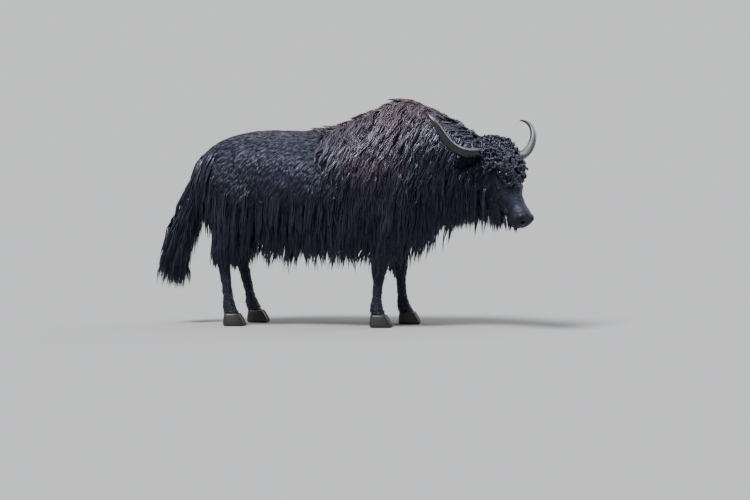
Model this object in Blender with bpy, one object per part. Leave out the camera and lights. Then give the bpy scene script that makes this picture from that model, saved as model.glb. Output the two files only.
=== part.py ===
"""A bull yak, standing with its head turned to its right, as a still life-size model.

Metres, +Z up, the yak faces +X and its left side is +Y. The frame's origin is the middle of the
bounding box's underside, where the hooves stand.
"""

import math
import random

import bmesh
import bpy
import numpy as np
from mathutils import Matrix, Vector
from mathutils.bvhtree import BVHTree

# Driving dimensions of the animal. Heights are above the soles.
HUMP_HEIGHT = 1.414       # skin of the hump, under the mane
HUMP_X = 0.33             # the hump's top, ahead of the middle of the body
RUMP_HEIGHT = 1.223
RUMP_X = -0.93            # rearmost point of the buttocks
BELLY_HEIGHT = 0.55
BARREL_HALF_WIDTH = 0.305

# The head's own axes start midway between the horn bases: x to the yak's right, y along the face
# to the muzzle, z out of the forehead.
HEAD_AT = Vector((0.935, -0.250, 1.082))
HEAD_TURN = math.radians(42)      # to the yak's right
HEAD_DROP = math.radians(52.5)    # face below the horizontal
HEAD_TILT = math.radians(3.5)     # right side up
FACE_LENGTH = 0.502               # from between the horns to the upper lip
EYE_TURN = 1.06                   # radians that the eye looks out to the side
EYE_SWING = 0.12                  # and forward
EYE_RADIUS = 0.025
EYE_AT = (0.089, 0.186, 0.010)

HORN_BASE_RADIUS = 0.031
HORN_TIP_RADIUS = 0.004
HORN_COURSE = (               # Bezier points in the head's axes: root, two handles, tip
    (0.070, 0.003, 0.020),
    (0.379, 0.033, -0.147),
    (0.458, -0.163, 0.108),
    (0.427, -0.301, -0.043),
)

HOOF_HEIGHT = 0.075
FEET = {  # middle of each foot, ahead of and beside the middle of the body
    "foreleg_right": (0.204, -0.150),
    "foreleg_left": (0.345, 0.150),
    "hindleg_right": (-0.715, -0.150),
    "hindleg_left": (-0.625, 0.150),
}

GAP = 0.0006              # air between the flat ends of neighbouring nodes
CORE_CLEARANCE = 0.0005   # air that a coat keeps from a neighbour's core
COAT_CLEARANCE = 0.0003   # air that a coat keeps from a neighbour's coat
BODY_VOXEL = 0.020
HEAD_VOXEL = 0.0085

COAT_BLACK = (0.016, 0.015, 0.018)
COAT_BROWN = (0.040, 0.026, 0.022)
HORN_GREY = (0.32, 0.29, 0.27)
HOOF_BLACK = (0.030, 0.027, 0.026)
EYE_BROWN = (0.022, 0.012, 0.008)


def clear_scene():
    for thing in list(bpy.data.objects):
        bpy.data.objects.remove(thing, do_unlink=True)


def material(name, colour, roughness):
    """A plain dielectric finish."""
    made = bpy.data.materials.new(name)
    made.use_nodes = True
    shader = made.node_tree.nodes["Principled BSDF"]
    shader.inputs["Base Color"].default_value = (*colour, 1)
    shader.inputs["Roughness"].default_value = roughness
    shader.inputs["Metallic"].default_value = 0
    return made


def mesh_object(name, points, faces):
    mesh = bpy.data.meshes.new(name)
    mesh.from_pydata([tuple(p) for p in points], [], [tuple(f) for f in faces])
    made = bpy.data.objects.new(name, mesh)
    bpy.context.scene.collection.objects.link(made)
    return made


def smooth_through(rows, count):
    """Rows of numbers spread evenly along a smooth curve through the given rows."""
    rows = np.array(rows, float)
    padded = np.vstack([2 * rows[0] - rows[1], rows, 2 * rows[-1] - rows[-2]])
    out = []
    for step in np.linspace(0, len(rows) - 1, count):
        i = min(int(step), len(rows) - 2)
        t = step - i
        a, b, c, d = padded[i:i + 4]
        out.append(0.5 * (2 * b + (c - a) * t + (2 * a - 5 * b + 4 * c - d) * t**2
                          + (3 * b - a - 3 * c + d) * t**3))
    return np.array(out)


def loft(name, rings):
    """A closed mesh through rings alike in number, each end closed by a fan to its middle."""
    rings = [np.array(ring, float) for ring in rings]
    sides = len(rings[0])
    points = [p for ring in rings for p in ring]
    faces = []
    for k in range(len(rings) - 1):
        for i in range(sides):
            j = (i + 1) % sides
            faces.append((k * sides + i, k * sides + j, (k + 1) * sides + j, (k + 1) * sides + i))
    first, last = len(points), len(points) + 1
    points += [rings[0].mean(0), rings[-1].mean(0)]
    base = (len(rings) - 1) * sides
    for i in range(sides):
        j = (i + 1) % sides
        faces.append((j, i, first))
        faces.append((base + i, base + j, last))
    made = mesh_object(name, points, faces)
    face_outwards(made)
    return made


def face_outwards(thing):
    shape = bmesh.new()
    shape.from_mesh(thing.data)
    bmesh.ops.recalc_face_normals(shape, faces=shape.faces)
    if shape.calc_volume(signed=True) < 0:
        bmesh.ops.reverse_faces(shape, faces=shape.faces)
    shape.to_mesh(thing.data)
    shape.free()


def oval(half_width, rise, drop, sides, pinch_top=1.0, pinch_bottom=1.0):
    """(across, up) points of a section that is widest at height 0. A pinch over 1 narrows that end."""
    out = []
    for k in range(sides):
        turn = 2 * math.pi * k / sides
        across, up = math.sin(turn), math.cos(turn)
        pinch = pinch_top if up > 0 else pinch_bottom
        out.append((math.copysign(abs(across)**pinch, across) * half_width,
                    up * (rise if up > 0 else drop)))
    return out


def apply_modifiers(thing):
    graph = bpy.context.evaluated_depsgraph_get()
    mesh = bpy.data.meshes.new_from_object(thing.evaluated_get(graph))
    thing.modifiers.clear()
    thing.data = mesh


def largest_body(thing):
    """Keeps only the largest closed surface of a mesh."""
    shape = bmesh.new()
    shape.from_mesh(thing.data)
    bmesh.ops.triangulate(shape, faces=shape.faces)
    todo = set(shape.faces)
    bodies = []
    while todo:
        body, edge = set(), [todo.pop()]
        while edge:
            face = edge.pop()
            body.add(face)
            for side in face.edges:
                for other in side.link_faces:
                    if other in todo:
                        todo.discard(other)
                        edge.append(other)
        bodies.append(body)
    bodies.sort(key=lambda b: abs(sum(f.verts[0].co.dot(f.verts[1].co.cross(f.verts[2].co)) for f in b)))
    for body in bodies[:-1]:
        bmesh.ops.delete(shape, geom=list(body), context="FACES")
    shape.to_mesh(thing.data)
    shape.free()


def boolean(thing, operation, others, solver="MANIFOLD"):
    """Joins or cuts with other closed meshes in one step, then removes them."""
    group = bpy.data.collections.new("operands")
    bpy.context.scene.collection.children.link(group)
    for other in others:
        group.objects.link(other)
    step = thing.modifiers.new("boolean", "BOOLEAN")
    step.operation = operation
    step.operand_type = "COLLECTION"
    step.collection = group
    step.solver = solver
    bpy.context.view_layer.update()
    apply_modifiers(thing)
    for other in others:
        bpy.data.objects.remove(other, do_unlink=True)
    bpy.data.collections.remove(group)
    largest_body(thing)


def grown_copy(thing, by):
    """The same mesh with its surface moved out a little, to cut a neighbour clear of it."""
    made = thing.copy()
    made.data = thing.data.copy()
    bpy.context.scene.collection.objects.link(made)
    shape = bmesh.new()
    shape.from_mesh(made.data)
    shape.normal_update()
    moves = [(v, v.normal.copy()) for v in shape.verts]
    for v, normal in moves:
        v.co += normal * by
    shape.to_mesh(made.data)
    shape.free()
    return made


def box(name, low, high):
    corners = [(x, y, z) for x in (low[0], high[0]) for y in (low[1], high[1]) for z in (low[2], high[2])]
    faces = [(0, 1, 3, 2), (4, 6, 7, 5), (0, 4, 5, 1), (2, 3, 7, 6), (0, 2, 6, 4), (1, 5, 7, 3)]
    made = mesh_object(name, corners, faces)
    face_outwards(made)
    return made


def fused(name, pieces, voxel, smoothing, triangles):
    """Melts overlapping closed pieces into one even surface, then thins it to a number of triangles."""
    shape = bmesh.new()
    for piece in pieces:
        shape.from_mesh(piece.data)
        bpy.data.objects.remove(piece, do_unlink=True)
    mesh = bpy.data.meshes.new(name)
    shape.to_mesh(mesh)
    shape.free()
    made = bpy.data.objects.new(name, mesh)
    bpy.context.scene.collection.objects.link(made)
    remesh = made.modifiers.new("melt", "REMESH")
    remesh.mode = "VOXEL"
    remesh.voxel_size = voxel
    soften = made.modifiers.new("soften", "SMOOTH")
    soften.factor = 0.5
    soften.iterations = smoothing
    apply_modifiers(made)
    whole = 2 * len(made.data.polygons)
    thin = made.modifiers.new("thin", "DECIMATE")
    thin.ratio = min(1.0, triangles / whole)
    apply_modifiers(made)
    largest_body(made)
    return made


def parted(name, whole, region):
    """The part of a whole body inside a closed region, which is used up."""
    made = whole.copy()
    made.data = whole.data.copy()
    made.name = name
    bpy.context.scene.collection.objects.link(made)
    boolean(made, "INTERSECT", [region], "EXACT")
    return made


# Trunk and neck: one tube of upright oval sections, from the buttocks to inside the head.

TRUNK = (
    # x, y, yaw in degrees, top, bottom, half width, height of the widest level as a share, top pinch
    (RUMP_X, 0, 0, 1.03, 0.84, 0.07, 0.5, 1.0),
    (RUMP_X + 0.04, 0, 0, 1.105, 0.74, 0.155, 0.5, 1.0),
    (-0.80, 0, 0, 1.163, 0.66, 0.215, 0.5, 1.1),
    (-0.66, 0, 0, 1.206, 0.60, 0.258, 0.52, 1.1),
    (-0.50, 0, 0, RUMP_HEIGHT, 0.57, 0.275, 0.52, 1.15),
    (-0.30, 0, 0, RUMP_HEIGHT - 0.005, BELLY_HEIGHT, 0.292, 0.48, 1.2),
    (-0.10, 0, 0, 1.222, BELLY_HEIGHT - 0.01, BARREL_HALF_WIDTH, 0.44, 1.3),
    (0.08, 0, 0, 1.306, 0.535, BARREL_HALF_WIDTH, 0.42, 1.45),
    (0.22, 0, 0, 1.374, 0.54, 0.295, 0.42, 1.55),
    (HUMP_X + 0.02, 0, -2, HUMP_HEIGHT, 0.555, 0.270, 0.42, 1.55),
    (0.47, -0.01, -8, 1.373, 0.60, 0.232, 0.44, 1.45),
    (0.58, -0.035, -16, 1.320, 0.665, 0.190, 0.46, 1.3),
    (0.68, -0.075, -25, 1.262, 0.735, 0.158, 0.48, 1.2),
    (0.77, -0.125, -33, 1.203, 0.785, 0.138, 0.5, 1.1),
    (0.85, -0.185, -40, 1.15, 0.83, 0.125, 0.5, 1.0),
)
TRUNK_SIDES = 28
TRUNK_RINGS = 44


def trunk():
    rings = []
    for x, y, yaw, top, bottom, half_width, widest, pinch in smooth_through(TRUNK, TRUNK_RINGS):
        middle = bottom + widest * (top - bottom)
        heading = math.radians(yaw)
        ring = [(x - across * math.sin(heading), y + across * math.cos(heading), middle + up)
                for across, up in oval(half_width, top - middle, middle - bottom, TRUNK_SIDES, pinch, 0.85)]
        rings.append(ring)
    return loft("trunk", rings)


# Legs: level oval sections from inside the body down to the coronet. The foot's place moves the
# lower sections ahead or back, less and less up to the joint with the body.

FORELEG = (
    # height, ahead of the shoulder line, beside the middle, half length, half width
    (1.06, 0.310, 0.130, 0.130, 0.075),
    (0.92, 0.310, 0.175, 0.155, 0.098),
    (0.78, 0.285, 0.190, 0.140, 0.100),
    (0.66, 0.250, 0.182, 0.108, 0.086),
    (0.55, 0.245, 0.170, 0.078, 0.066),
    (0.45, 0.250, 0.160, 0.060, 0.054),
    (0.375, 0.258, 0.155, 0.055, 0.051),
    (0.30, 0.250, 0.152, 0.041, 0.040),
    (0.19, 0.248, 0.150, 0.037, 0.037),
    (0.125, 0.252, 0.150, 0.047, 0.044),
    (HOOF_HEIGHT, 0.272, 0.150, 0.053, 0.050),
)
HINDLEG = (
    (1.10, -0.640, 0.110, 0.160, 0.080),
    (0.96, -0.665, 0.150, 0.195, 0.100),
    (0.83, -0.660, 0.172, 0.185, 0.100),
    (0.72, -0.665, 0.175, 0.150, 0.088),
    (0.61, -0.715, 0.168, 0.105, 0.068),
    (0.53, -0.752, 0.162, 0.074, 0.054),
    (0.46, -0.775, 0.158, 0.063, 0.047),
    (0.38, -0.762, 0.154, 0.047, 0.041),
    (0.20, -0.738, 0.150, 0.038, 0.038),
    (0.125, -0.726, 0.150, 0.047, 0.045),
    (HOOF_HEIGHT, -0.705, 0.150, 0.053, 0.050),
)
LEG_PIVOT = 0.80          # height from which a leg leans to its foot
LEG_SIDES = 20
LEG_RINGS = 26


def leg(name):
    sections = FORELEG if name.startswith("fore") else HINDLEG
    foot_x, foot_y = FEET[name]
    side = math.copysign(1, foot_y)
    lean = foot_x - sections[-1][1]
    rings = []
    for height, x, y, half_length, half_width in smooth_through(sections, LEG_RINGS):
        share = max(0.0, 1 - height / LEG_PIVOT) / (1 - HOOF_HEIGHT / LEG_PIVOT)
        rings.append([(x + lean * share + up, side * y + across, height)
                      for across, up in oval(half_width, half_length, half_length, LEG_SIDES)])
    return loft(name, rings)


# Head: sections across the face, with brow, cheeks and lips melted on.

HEAD_SECTIONS = (
    # along the face, top, bottom, half width, widest level as a share, top pinch
    (-0.115, 0.010, -0.170, 0.080, 0.60, 1.0),
    (-0.060, 0.062, -0.205, 0.112, 0.68, 0.85),
    (0.015, 0.078, -0.228, 0.122, 0.70, 0.75),
    (0.095, 0.070, -0.240, 0.118, 0.72, 0.75),
    (0.170, 0.050, -0.240, 0.108, 0.72, 0.75),
    (0.240, 0.030, -0.214, 0.087, 0.68, 0.8),
    (0.315, 0.009, -0.182, 0.068, 0.60, 0.9),
    (0.382, -0.002, -0.154, 0.061, 0.54, 0.9),
    (0.437, -0.005, -0.140, 0.066, 0.50, 0.8),
    (0.474, -0.013, -0.128, 0.064, 0.50, 0.8),
    (0.495, -0.030, -0.110, 0.049, 0.5, 0.9),
    (FACE_LENGTH, -0.050, -0.090, 0.024, 0.5, 1.0),
)
HEAD_SIDES = 28
HEAD_RINGS = 40


def head_matrix():
    ahead = Vector((math.cos(HEAD_TURN), -math.sin(HEAD_TURN), 0))
    left = Vector((math.sin(HEAD_TURN), math.cos(HEAD_TURN), 0))
    face = ahead * math.cos(HEAD_DROP) - Vector((0, 0, math.sin(HEAD_DROP)))
    crown = ahead * math.sin(HEAD_DROP) + Vector((0, 0, math.cos(HEAD_DROP)))
    right = -(left * math.cos(HEAD_TILT) - crown * math.sin(HEAD_TILT))
    crown = left * math.sin(HEAD_TILT) + crown * math.cos(HEAD_TILT)
    return Matrix.Translation(HEAD_AT) @ Matrix((right, face, crown)).transposed().to_4x4()


def ball(name, middle, radii, turns=(0, 0, 0), sides=20, rings=12):
    """An ellipsoid, with its place and turns in the head's axes or the body's."""
    shape = bmesh.new()
    bmesh.ops.create_uvsphere(shape, u_segments=sides, v_segments=rings, radius=1.0)
    mesh = bpy.data.meshes.new(name)
    shape.to_mesh(mesh)
    shape.free()
    made = bpy.data.objects.new(name, mesh)
    bpy.context.scene.collection.objects.link(made)
    turn = (Matrix.Rotation(turns[2], 4, "Z") @ Matrix.Rotation(turns[1], 4, "Y")
            @ Matrix.Rotation(turns[0], 4, "X"))
    mesh.transform(Matrix.Translation(Vector(middle)) @ turn @ Matrix.Diagonal((*radii, 1)))
    return made


def head_flesh():
    """The head's pieces in its own axes, moved to where the head is held."""
    rings = []
    for along, top, bottom, half_width, widest, pinch in smooth_through(HEAD_SECTIONS, HEAD_RINGS):
        middle = bottom + widest * (top - bottom)
        section = oval(half_width, top - middle, middle - bottom, HEAD_SIDES, pinch, 0.9)
        rings.append([(across, along, middle + up) for across, up in section])
    pieces = [loft("skull", rings)]
    for side in (-1, 1):
        pieces.append(ball("brow", (side * 0.074, 0.162, 0.042), (0.036, 0.052, 0.018),
                           (0, side * 0.6, side * 0.1)))
        pieces.append(ball("orbit", (side * 0.083, 0.186, 0.008), (0.034, 0.045, 0.035)))
        pieces.append(ball("cheek", (side * 0.070, 0.115, -0.130), (0.040, 0.110, 0.085), (0.25, 0, 0)))
        pieces.append(ball("nostril wing", (side * 0.034, 0.464, -0.040), (0.031, 0.034, 0.026)))
    pieces.append(ball("upper lip", (0, 0.440, -0.067), (0.070, 0.053, 0.040)))
    pieces.append(ball("lower lip", (0, 0.434, -0.120), (0.050, 0.050, 0.030), (-0.12, 0, 0)))
    placed = head_matrix()
    for piece in pieces:
        piece.data.transform(placed)
    return pieces


def swept(name, path, radii, sides, flat=1.0, outward=None):
    """A closed tube of round or flattened sections along a path, pointed or blunt by its radii.

    flat is the thickness as a share of the width; outward is the side that the flat faces."""
    path = [Vector(p) for p in path]
    face = Vector(outward) if outward else Vector((0, 0, 1))
    rings = []
    for k, at in enumerate(path):
        along = (path[min(k + 1, len(path) - 1)] - path[max(k - 1, 0)]).normalized()
        across = along.cross(face).normalized()
        normal = across.cross(along).normalized()
        face = normal
        ring = []
        for i in range(sides):
            turn = 2 * math.pi * i / sides
            ring.append(at + across * math.cos(turn) * radii[k] + normal * math.sin(turn) * radii[k] * flat)
        rings.append(ring)
    return loft(name, rings)


def bezier(corners, count):
    a, b, c, d = (Vector(p) for p in corners)
    out = []
    for k in range(count):
        t = k / (count - 1)
        out.append(a * (1 - t)**3 + b * 3 * t * (1 - t)**2 + c * 3 * t**2 * (1 - t) + d * t**3)
    return out


HORN_RINGS = 15
HORN_SIDES = 12


def horn(name, side, placed):
    """Out of the side of the poll, then forward, up and back to a blunt point."""
    path = [placed @ Vector((side * p.x, p.y, p.z)) for p in bezier(HORN_COURSE, HORN_RINGS)]
    radii = []
    for k in range(HORN_RINGS):
        t = k / (HORN_RINGS - 1)
        radii.append(HORN_TIP_RADIUS + (HORN_BASE_RADIUS - HORN_TIP_RADIUS) * (1 - t**1.9) ** 0.85)
    return swept(name, path, radii, HORN_SIDES, outward=placed.to_3x3() @ Vector((0, 0, 1)))


EAR_ROOT = (0.104, 0.016, -0.052)
EAR_TIP = (0.322, 0.046, -0.112)
EAR_OPENS = Vector((0.10, 0.72, 0.52))
EAR_SECTIONS = (
    # share of the length, half width, depth of the cup, wall
    (0.0, 0.020, 0.000, 0.020),
    (0.16, 0.028, 0.010, 0.016),
    (0.36, 0.044, 0.020, 0.009),
    (0.60, 0.048, 0.022, 0.007),
    (0.82, 0.034, 0.014, 0.006),
    (1.0, 0.008, 0.002, 0.004),
)
EAR_RINGS = 9
EAR_ARC = 7


def ear(name, side, placed):
    """A cupped leaf, hollow towards the front."""
    root = placed @ Vector((side * EAR_ROOT[0], EAR_ROOT[1], EAR_ROOT[2]))
    tip = placed @ Vector((side * EAR_TIP[0], EAR_TIP[1], EAR_TIP[2]))
    along = (tip - root).normalized()
    opens = placed.to_3x3() @ Vector((side * EAR_OPENS.x, EAR_OPENS.y, EAR_OPENS.z))
    across = along.cross(opens).normalized()
    back = along.cross(across).normalized()
    if back.dot(opens) > 0:
        back = -back
    rings = []
    for share, half_width, depth, wall in smooth_through(EAR_SECTIONS, EAR_RINGS):
        at = root.lerp(tip, share)
        outer, inner = [], []
        for k in range(EAR_ARC):
            spread = -1 + 2 * k / (EAR_ARC - 1)
            bow = 1 - spread * spread
            outer.append(at + across * spread * half_width + back * (bow * (depth + wall)))
            if 0 < k < EAR_ARC - 1:
                inner.append(at + across * spread * half_width * 0.9 + back * (bow * depth - wall * 0.4))
        rings.append(outer + inner[::-1])
    return loft(name, rings)


CLAW_RINGS = (
    # height, toe, heel, outer edge, inner edge
    (0.0, 0.078, -0.052, 0.056, 0.004),
    (0.016, 0.079, -0.055, 0.058, 0.004),
    (0.045, 0.066, -0.054, 0.055, 0.004),
    (HOOF_HEIGHT - GAP, 0.050, -0.050, 0.050, 0.004),
)
CLAW_SIDES = 8


def hoof(name, foot):
    """Two claws with the cleft between them, joined at the coronet, flat underneath."""
    claws = []
    for side in (-1, 1):
        rings = []
        for height, toe, heel, outer, inner in CLAW_RINGS:
            ring = []
            for k in range(CLAW_SIDES):
                turn = 2 * math.pi * k / CLAW_SIDES
                across = inner + (outer - inner) * (0.5 + 0.5 * math.cos(turn))
                reach = abs(math.sin(turn))**0.75
                along = toe * reach if math.sin(turn) > 0 else heel * reach
                ring.append((foot[0] + along, foot[1] + side * across, height))
            rings.append(ring)
        claws.append(loft("claw", rings))
    web = ball("web", (foot[0] - 0.004, foot[1], HOOF_HEIGHT - 0.026), (0.034, 0.014, 0.020),
               sides=6, rings=4)
    made = claws[0]
    made.name = name
    boolean(made, "UNION", [claws[1], web])
    return made


# Coat. Every lock is a flat tapered blade with a ridge along it, rooted inside the body, lying along
# it and hanging where the body curves away from under it.

ROOT_DEPTH = 0.014
LONG_LOCK = ((0.0, 1.0), (0.24, 1.0), (0.52, 0.92), (0.79, 0.62))     # share of the length, of the width
SHORT_LOCK = ((0.0, 1.0), (0.34, 1.0), (0.70, 0.74))
SHORT = 0.345
GRAVITY = Vector((0, 0, -1))


def tree_of(things):
    points, faces = [], []
    for thing in things:
        base = len(points)
        points += [v.co.copy() for v in thing.data.vertices]
        faces += [[base + i for i in f.vertices] for f in thing.data.polygons]
    return BVHTree.FromPolygons(points, faces)


def onto(skin, point, look):
    """The skin's point and normal met by looking at a point from outside, along -look."""
    look = Vector(look).normalized()
    at, normal, _, _ = skin.ray_cast(Vector(point) + look * 1.2, -look)
    if at is None:
        at, normal, _, _ = skin.find_nearest(Vector(point))
    return at, normal


def crosses_itself(thing):
    """True where a lock bends so sharply that its own faces meet."""
    shape = bmesh.new()
    shape.from_mesh(thing.data)
    shape.faces.ensure_lookup_table()
    tree = BVHTree.FromBMesh(shape)
    corners = [{v.index for v in f.verts} for f in shape.faces]
    met = any(a < b and not corners[a] & corners[b] for a, b in tree.overlap(tree))
    shape.free()
    return met


def lock(skin, root, way, length, width, thick, lift=(0.0, 0.0), pull=0.5, sway=0.0, foot=0.85):
    """One lock from a root on the skin, first along way, then falling as pull says.

    lift is how far its underside stands off the skin near the root and at the tip, and foot is the
    root's share of the width."""
    at, normal = root
    shape = SHORT_LOCK if length < SHORT else LONG_LOCK
    way = Vector(way)
    way = (way - normal * way.dot(normal)).normalized()
    middles, normals = [at - normal * ROOT_DEPTH - way * 0.012], [normal]
    here, done = at.copy(), 0.0
    for share in [s for s, _ in shape[1:]] + [1.0]:
        step = (share - done) * length
        done = share
        way = (way + GRAVITY * pull + normal.cross(way) * sway * (0.5 - share)).normalized()
        here = here + way * step
        near, outward, _, _ = skin.find_nearest(here)
        room = 0.003 + lift[0] + (lift[1] - lift[0]) * share
        if (here - near).dot(outward) < room:
            here = near + outward * room
            normal = outward
        middles.append(here.copy())
        normals.append(normal.copy())
    points, faces, before = [], [], None
    for k, (_, spread) in enumerate(shape):
        along = (middles[k + 1] - middles[max(k - 1, 0)]).normalized()
        across = along.cross(normals[k]).normalized()
        if before:
            carried = (before - along * before.dot(along)).normalized()
            across = (carried * 1.2 + across * (1 if across.dot(carried) > 0 else -1)).normalized()
        before = across
        out = across.cross(along).normalized()
        half = width * (spread if k else foot) / 2
        ridge = out * thick * (1.0 - 0.1 * k)
        points += [middles[k] + across * half, middles[k] + ridge, middles[k] - across * half]
    points.append(middles[-1])
    for k in range(len(shape) - 1):
        for i in range(3):
            j = (i + 1) % 3
            a, b, c, d = k * 3 + i, k * 3 + j, k * 3 + 3 + j, k * 3 + 3 + i
            faces += [(a, b, c), (a, c, d)]
    last, tip = 3 * (len(shape) - 1), len(points) - 1
    faces += [(last + i, last + (i + 1) % 3, tip) for i in range(3)]
    faces.append((0, 2, 1))
    made = mesh_object("lock", points, faces)
    face_outwards(made)
    if crosses_itself(made) and width > 0.03:
        bpy.data.objects.remove(made, do_unlink=True)
        return lock(skin, root, way, length * 0.97, width * 0.85, thick, lift, pull, sway * 0.7, foot)
    return made


def row(skin, dice, count, start, end, look, way, length, width, thick=0.012, lift=(0.0, 0.0), pull=0.5):
    """Locks evenly along a line, each varied a little in place, way and length.

    Every second one lies higher than its neighbours."""
    start, end = Vector(start), Vector(end)
    made = []
    for k in range(count):
        share = (k + 0.5 + dice.uniform(-0.15, 0.15)) / count
        at = start.lerp(end, share) + Vector((0, 0, dice.uniform(-0.018, 0.018)))
        turn = Vector((dice.uniform(-0.12, 0.12), dice.uniform(-0.05, 0.05), 0))
        over = 0.007 * (k % 2)
        made.append(lock(skin, onto(skin, at, look), Vector(way) + turn, length * dice.uniform(0.88, 1.08),
                         width * dice.uniform(0.9, 1.1), thick, (lift[0] + over, lift[1] + over), pull,
                         dice.uniform(-0.4, 0.4)))
    return made


def both_sides(skin, dice, count, start, end, look, way, *sizes, **more):
    """A row on the left side and its like on the right."""
    made = []
    for side in (1, -1):
        mirrored = [(v[0], side * v[1], v[2]) for v in (start, end, look, way)]
        made += row(skin, dice, count, *mirrored, *sizes, **more)
    return made


OVER = (0.002, 0.020)     # a lock that ends over the roots of the next tier
HANGING = (0.000, 0.004)  # a lock of the lowest tier


def torso_coat(skin):
    dice = random.Random(11)
    made = []
    # Mane of the hump: from the parting down each side, in two tiers.
    made += both_sides(skin, dice, 5, (-0.19, -0.018, 1.5), (0.47, -0.018, 1.5), (0, 0, 1), (-0.35, 1, 0),
                       0.33, 0.148, 0.015, lift=(0.016, 0.022), pull=0.5)
    made += both_sides(skin, dice, 5, (-0.14, 0.3, 1.19), (0.47, 0.3, 1.25), (0, 1, 0.25), (-0.3, 0, -1),
                       0.33, 0.138, 0.014, lift=OVER)
    # Shoulder, down over the upper foreleg.
    made += both_sides(skin, dice, 4, (0.08, 0.3, 0.97), (0.47, 0.3, 1.01), (0, 1, 0), (-0.15, 0, -1),
                       0.36, 0.118, 0.014, lift=OVER)
    made += both_sides(skin, dice, 4, (0.10, 0.3, 0.72), (0.48, 0.3, 0.76), (0, 1, 0), (-0.05, 0, -1),
                       0.40, 0.112, lift=HANGING)
    # Skirt of the flank in two tiers.
    made += both_sides(skin, dice, 5, (-0.54, 0.3, 0.79), (0.08, 0.3, 0.77), (0, 1, 0), (-0.1, 0, -1),
                       0.36, 0.146, 0.014, lift=OVER)
    made += both_sides(skin, dice, 5, (-0.55, 0.3, 0.64), (0.09, 0.3, 0.62), (0, 1, 0), (-0.1, 0, -1),
                       0.31, 0.140, lift=HANGING)
    # Rump, over the top of the thigh.
    made += both_sides(skin, dice, 3, (-0.90, 0.3, 1.00), (-0.52, 0.3, 0.97), (-0.15, 1, 0), (-0.15, 0, -1),
                       0.30, 0.135, 0.014, lift=OVER)
    # Breast, between and ahead of the forelegs.
    made += row(skin, dice, 3, (0.44, -0.11, 0.6), (0.44, 0.11, 0.6), (0.2, 0, -1), (0.3, 0, -1),
                0.37, 0.095, 0.016, pull=2.0)
    made += row(skin, dice, 2, (0.31, -0.08, 0.6), (0.31, 0.08, 0.6), (0, 0, -1), (0.1, 0, -1),
                0.32, 0.095, 0.016, pull=2.0)
    return made


def thigh_coat(skin, side):
    dice = random.Random(23 + side)
    out, way = (0, side, 0), (-0.05, 0, -1)
    made = row(skin, dice, 4, (-0.89, side * 0.3, 0.81), (-0.50, side * 0.3, 0.81), out, way,
               0.34, 0.112, lift=OVER)
    made += row(skin, dice, 4, (-0.87, side * 0.3, 0.66), (-0.54, side * 0.3, 0.66), out, way,
                0.34, 0.098, lift=HANGING)
    made += row(skin, dice, 2, (-0.9, side * 0.07, 0.76), (-0.9, side * 0.22, 0.74), (-1, 0, 0), (0, 0, -1),
                0.32, 0.092)
    return made


def neck_coat(skin):
    dice = random.Random(37)
    made = []
    for side in (1, -1):
        parting, upper, lower = side * -0.014, side * 0.2 - 0.02, side * 0.16 - 0.12
        made += row(skin, dice, 3, (0.53, parting - 0.02, 1.5), (0.75, parting - 0.12, 1.5), (0, 0, 1),
                    (-0.1, side, 0), 0.25, 0.098, 0.014, lift=(0.014, 0.018), pull=0.6)
        made += row(skin, dice, 3, (0.53, upper, 1.12), (0.77, lower, 1.06), (0.35, side, 0.1),
                    (-0.2, 0, -1), 0.26, 0.098, lift=OVER)
        made += row(skin, dice, 3, (0.54, upper, 0.92), (0.77, lower, 0.93), (0.35, side, 0),
                    (-0.1, 0, -1), 0.28, 0.092, lift=HANGING)
    # Throat, hanging as low as the chin.
    made += row(skin, dice, 4, (0.56, -0.03, 0.7), (0.78, -0.14, 0.8), (0, 0, -1), (-0.1, 0, -1),
                0.25, 0.095, 0.016, pull=2.0)
    return made


def leg_coat(skin, name):
    """The feather behind a foreleg's forearm and knee."""
    foot_x, foot_y = FEET[name]
    dice = random.Random(41 + len(name))
    made = []
    for height, back in ((0.56, 0.07), (0.47, 0.05)):
        at, normal, _, _ = skin.find_nearest(Vector((foot_x - back - 0.03, foot_y * 1.08, height)))
        made.append(lock(skin, (at, normal), (-0.1, 0, -1), 0.17 * dice.uniform(0.9, 1.1), 0.065, 0.011))
    return made


TAIL_PATH = (
    # x, y, height, radius
    (-0.820, 0.000, 1.085, 0.030),
    (-0.880, 0.000, 1.088, 0.033),
    (-0.918, -0.003, 1.015, 0.038),
    (-0.952, -0.008, 0.905, 0.046),
    (-0.996, -0.014, 0.785, 0.058),
    (-1.034, -0.020, 0.665, 0.068),
    (-1.050, -0.024, 0.555, 0.060),
    (-1.052, -0.026, 0.475, 0.020),
)
TAIL_SIDES = 8
TAIL_RINGS = 11
TAIL_TIERS = (
    # height of the roots, locks round the tail, their length, how far they spread, stand-off at the tip
    (1.02, 3, 0.36, 0.10, 0.030),
    (0.86, 4, 0.38, 0.30, 0.050),
    (0.71, 5, 0.42, 0.42, 0.055),
    (0.57, 6, 0.40, 0.38, 0.015),
)
TAIL_LOCK_WIDTH = 0.115


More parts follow.
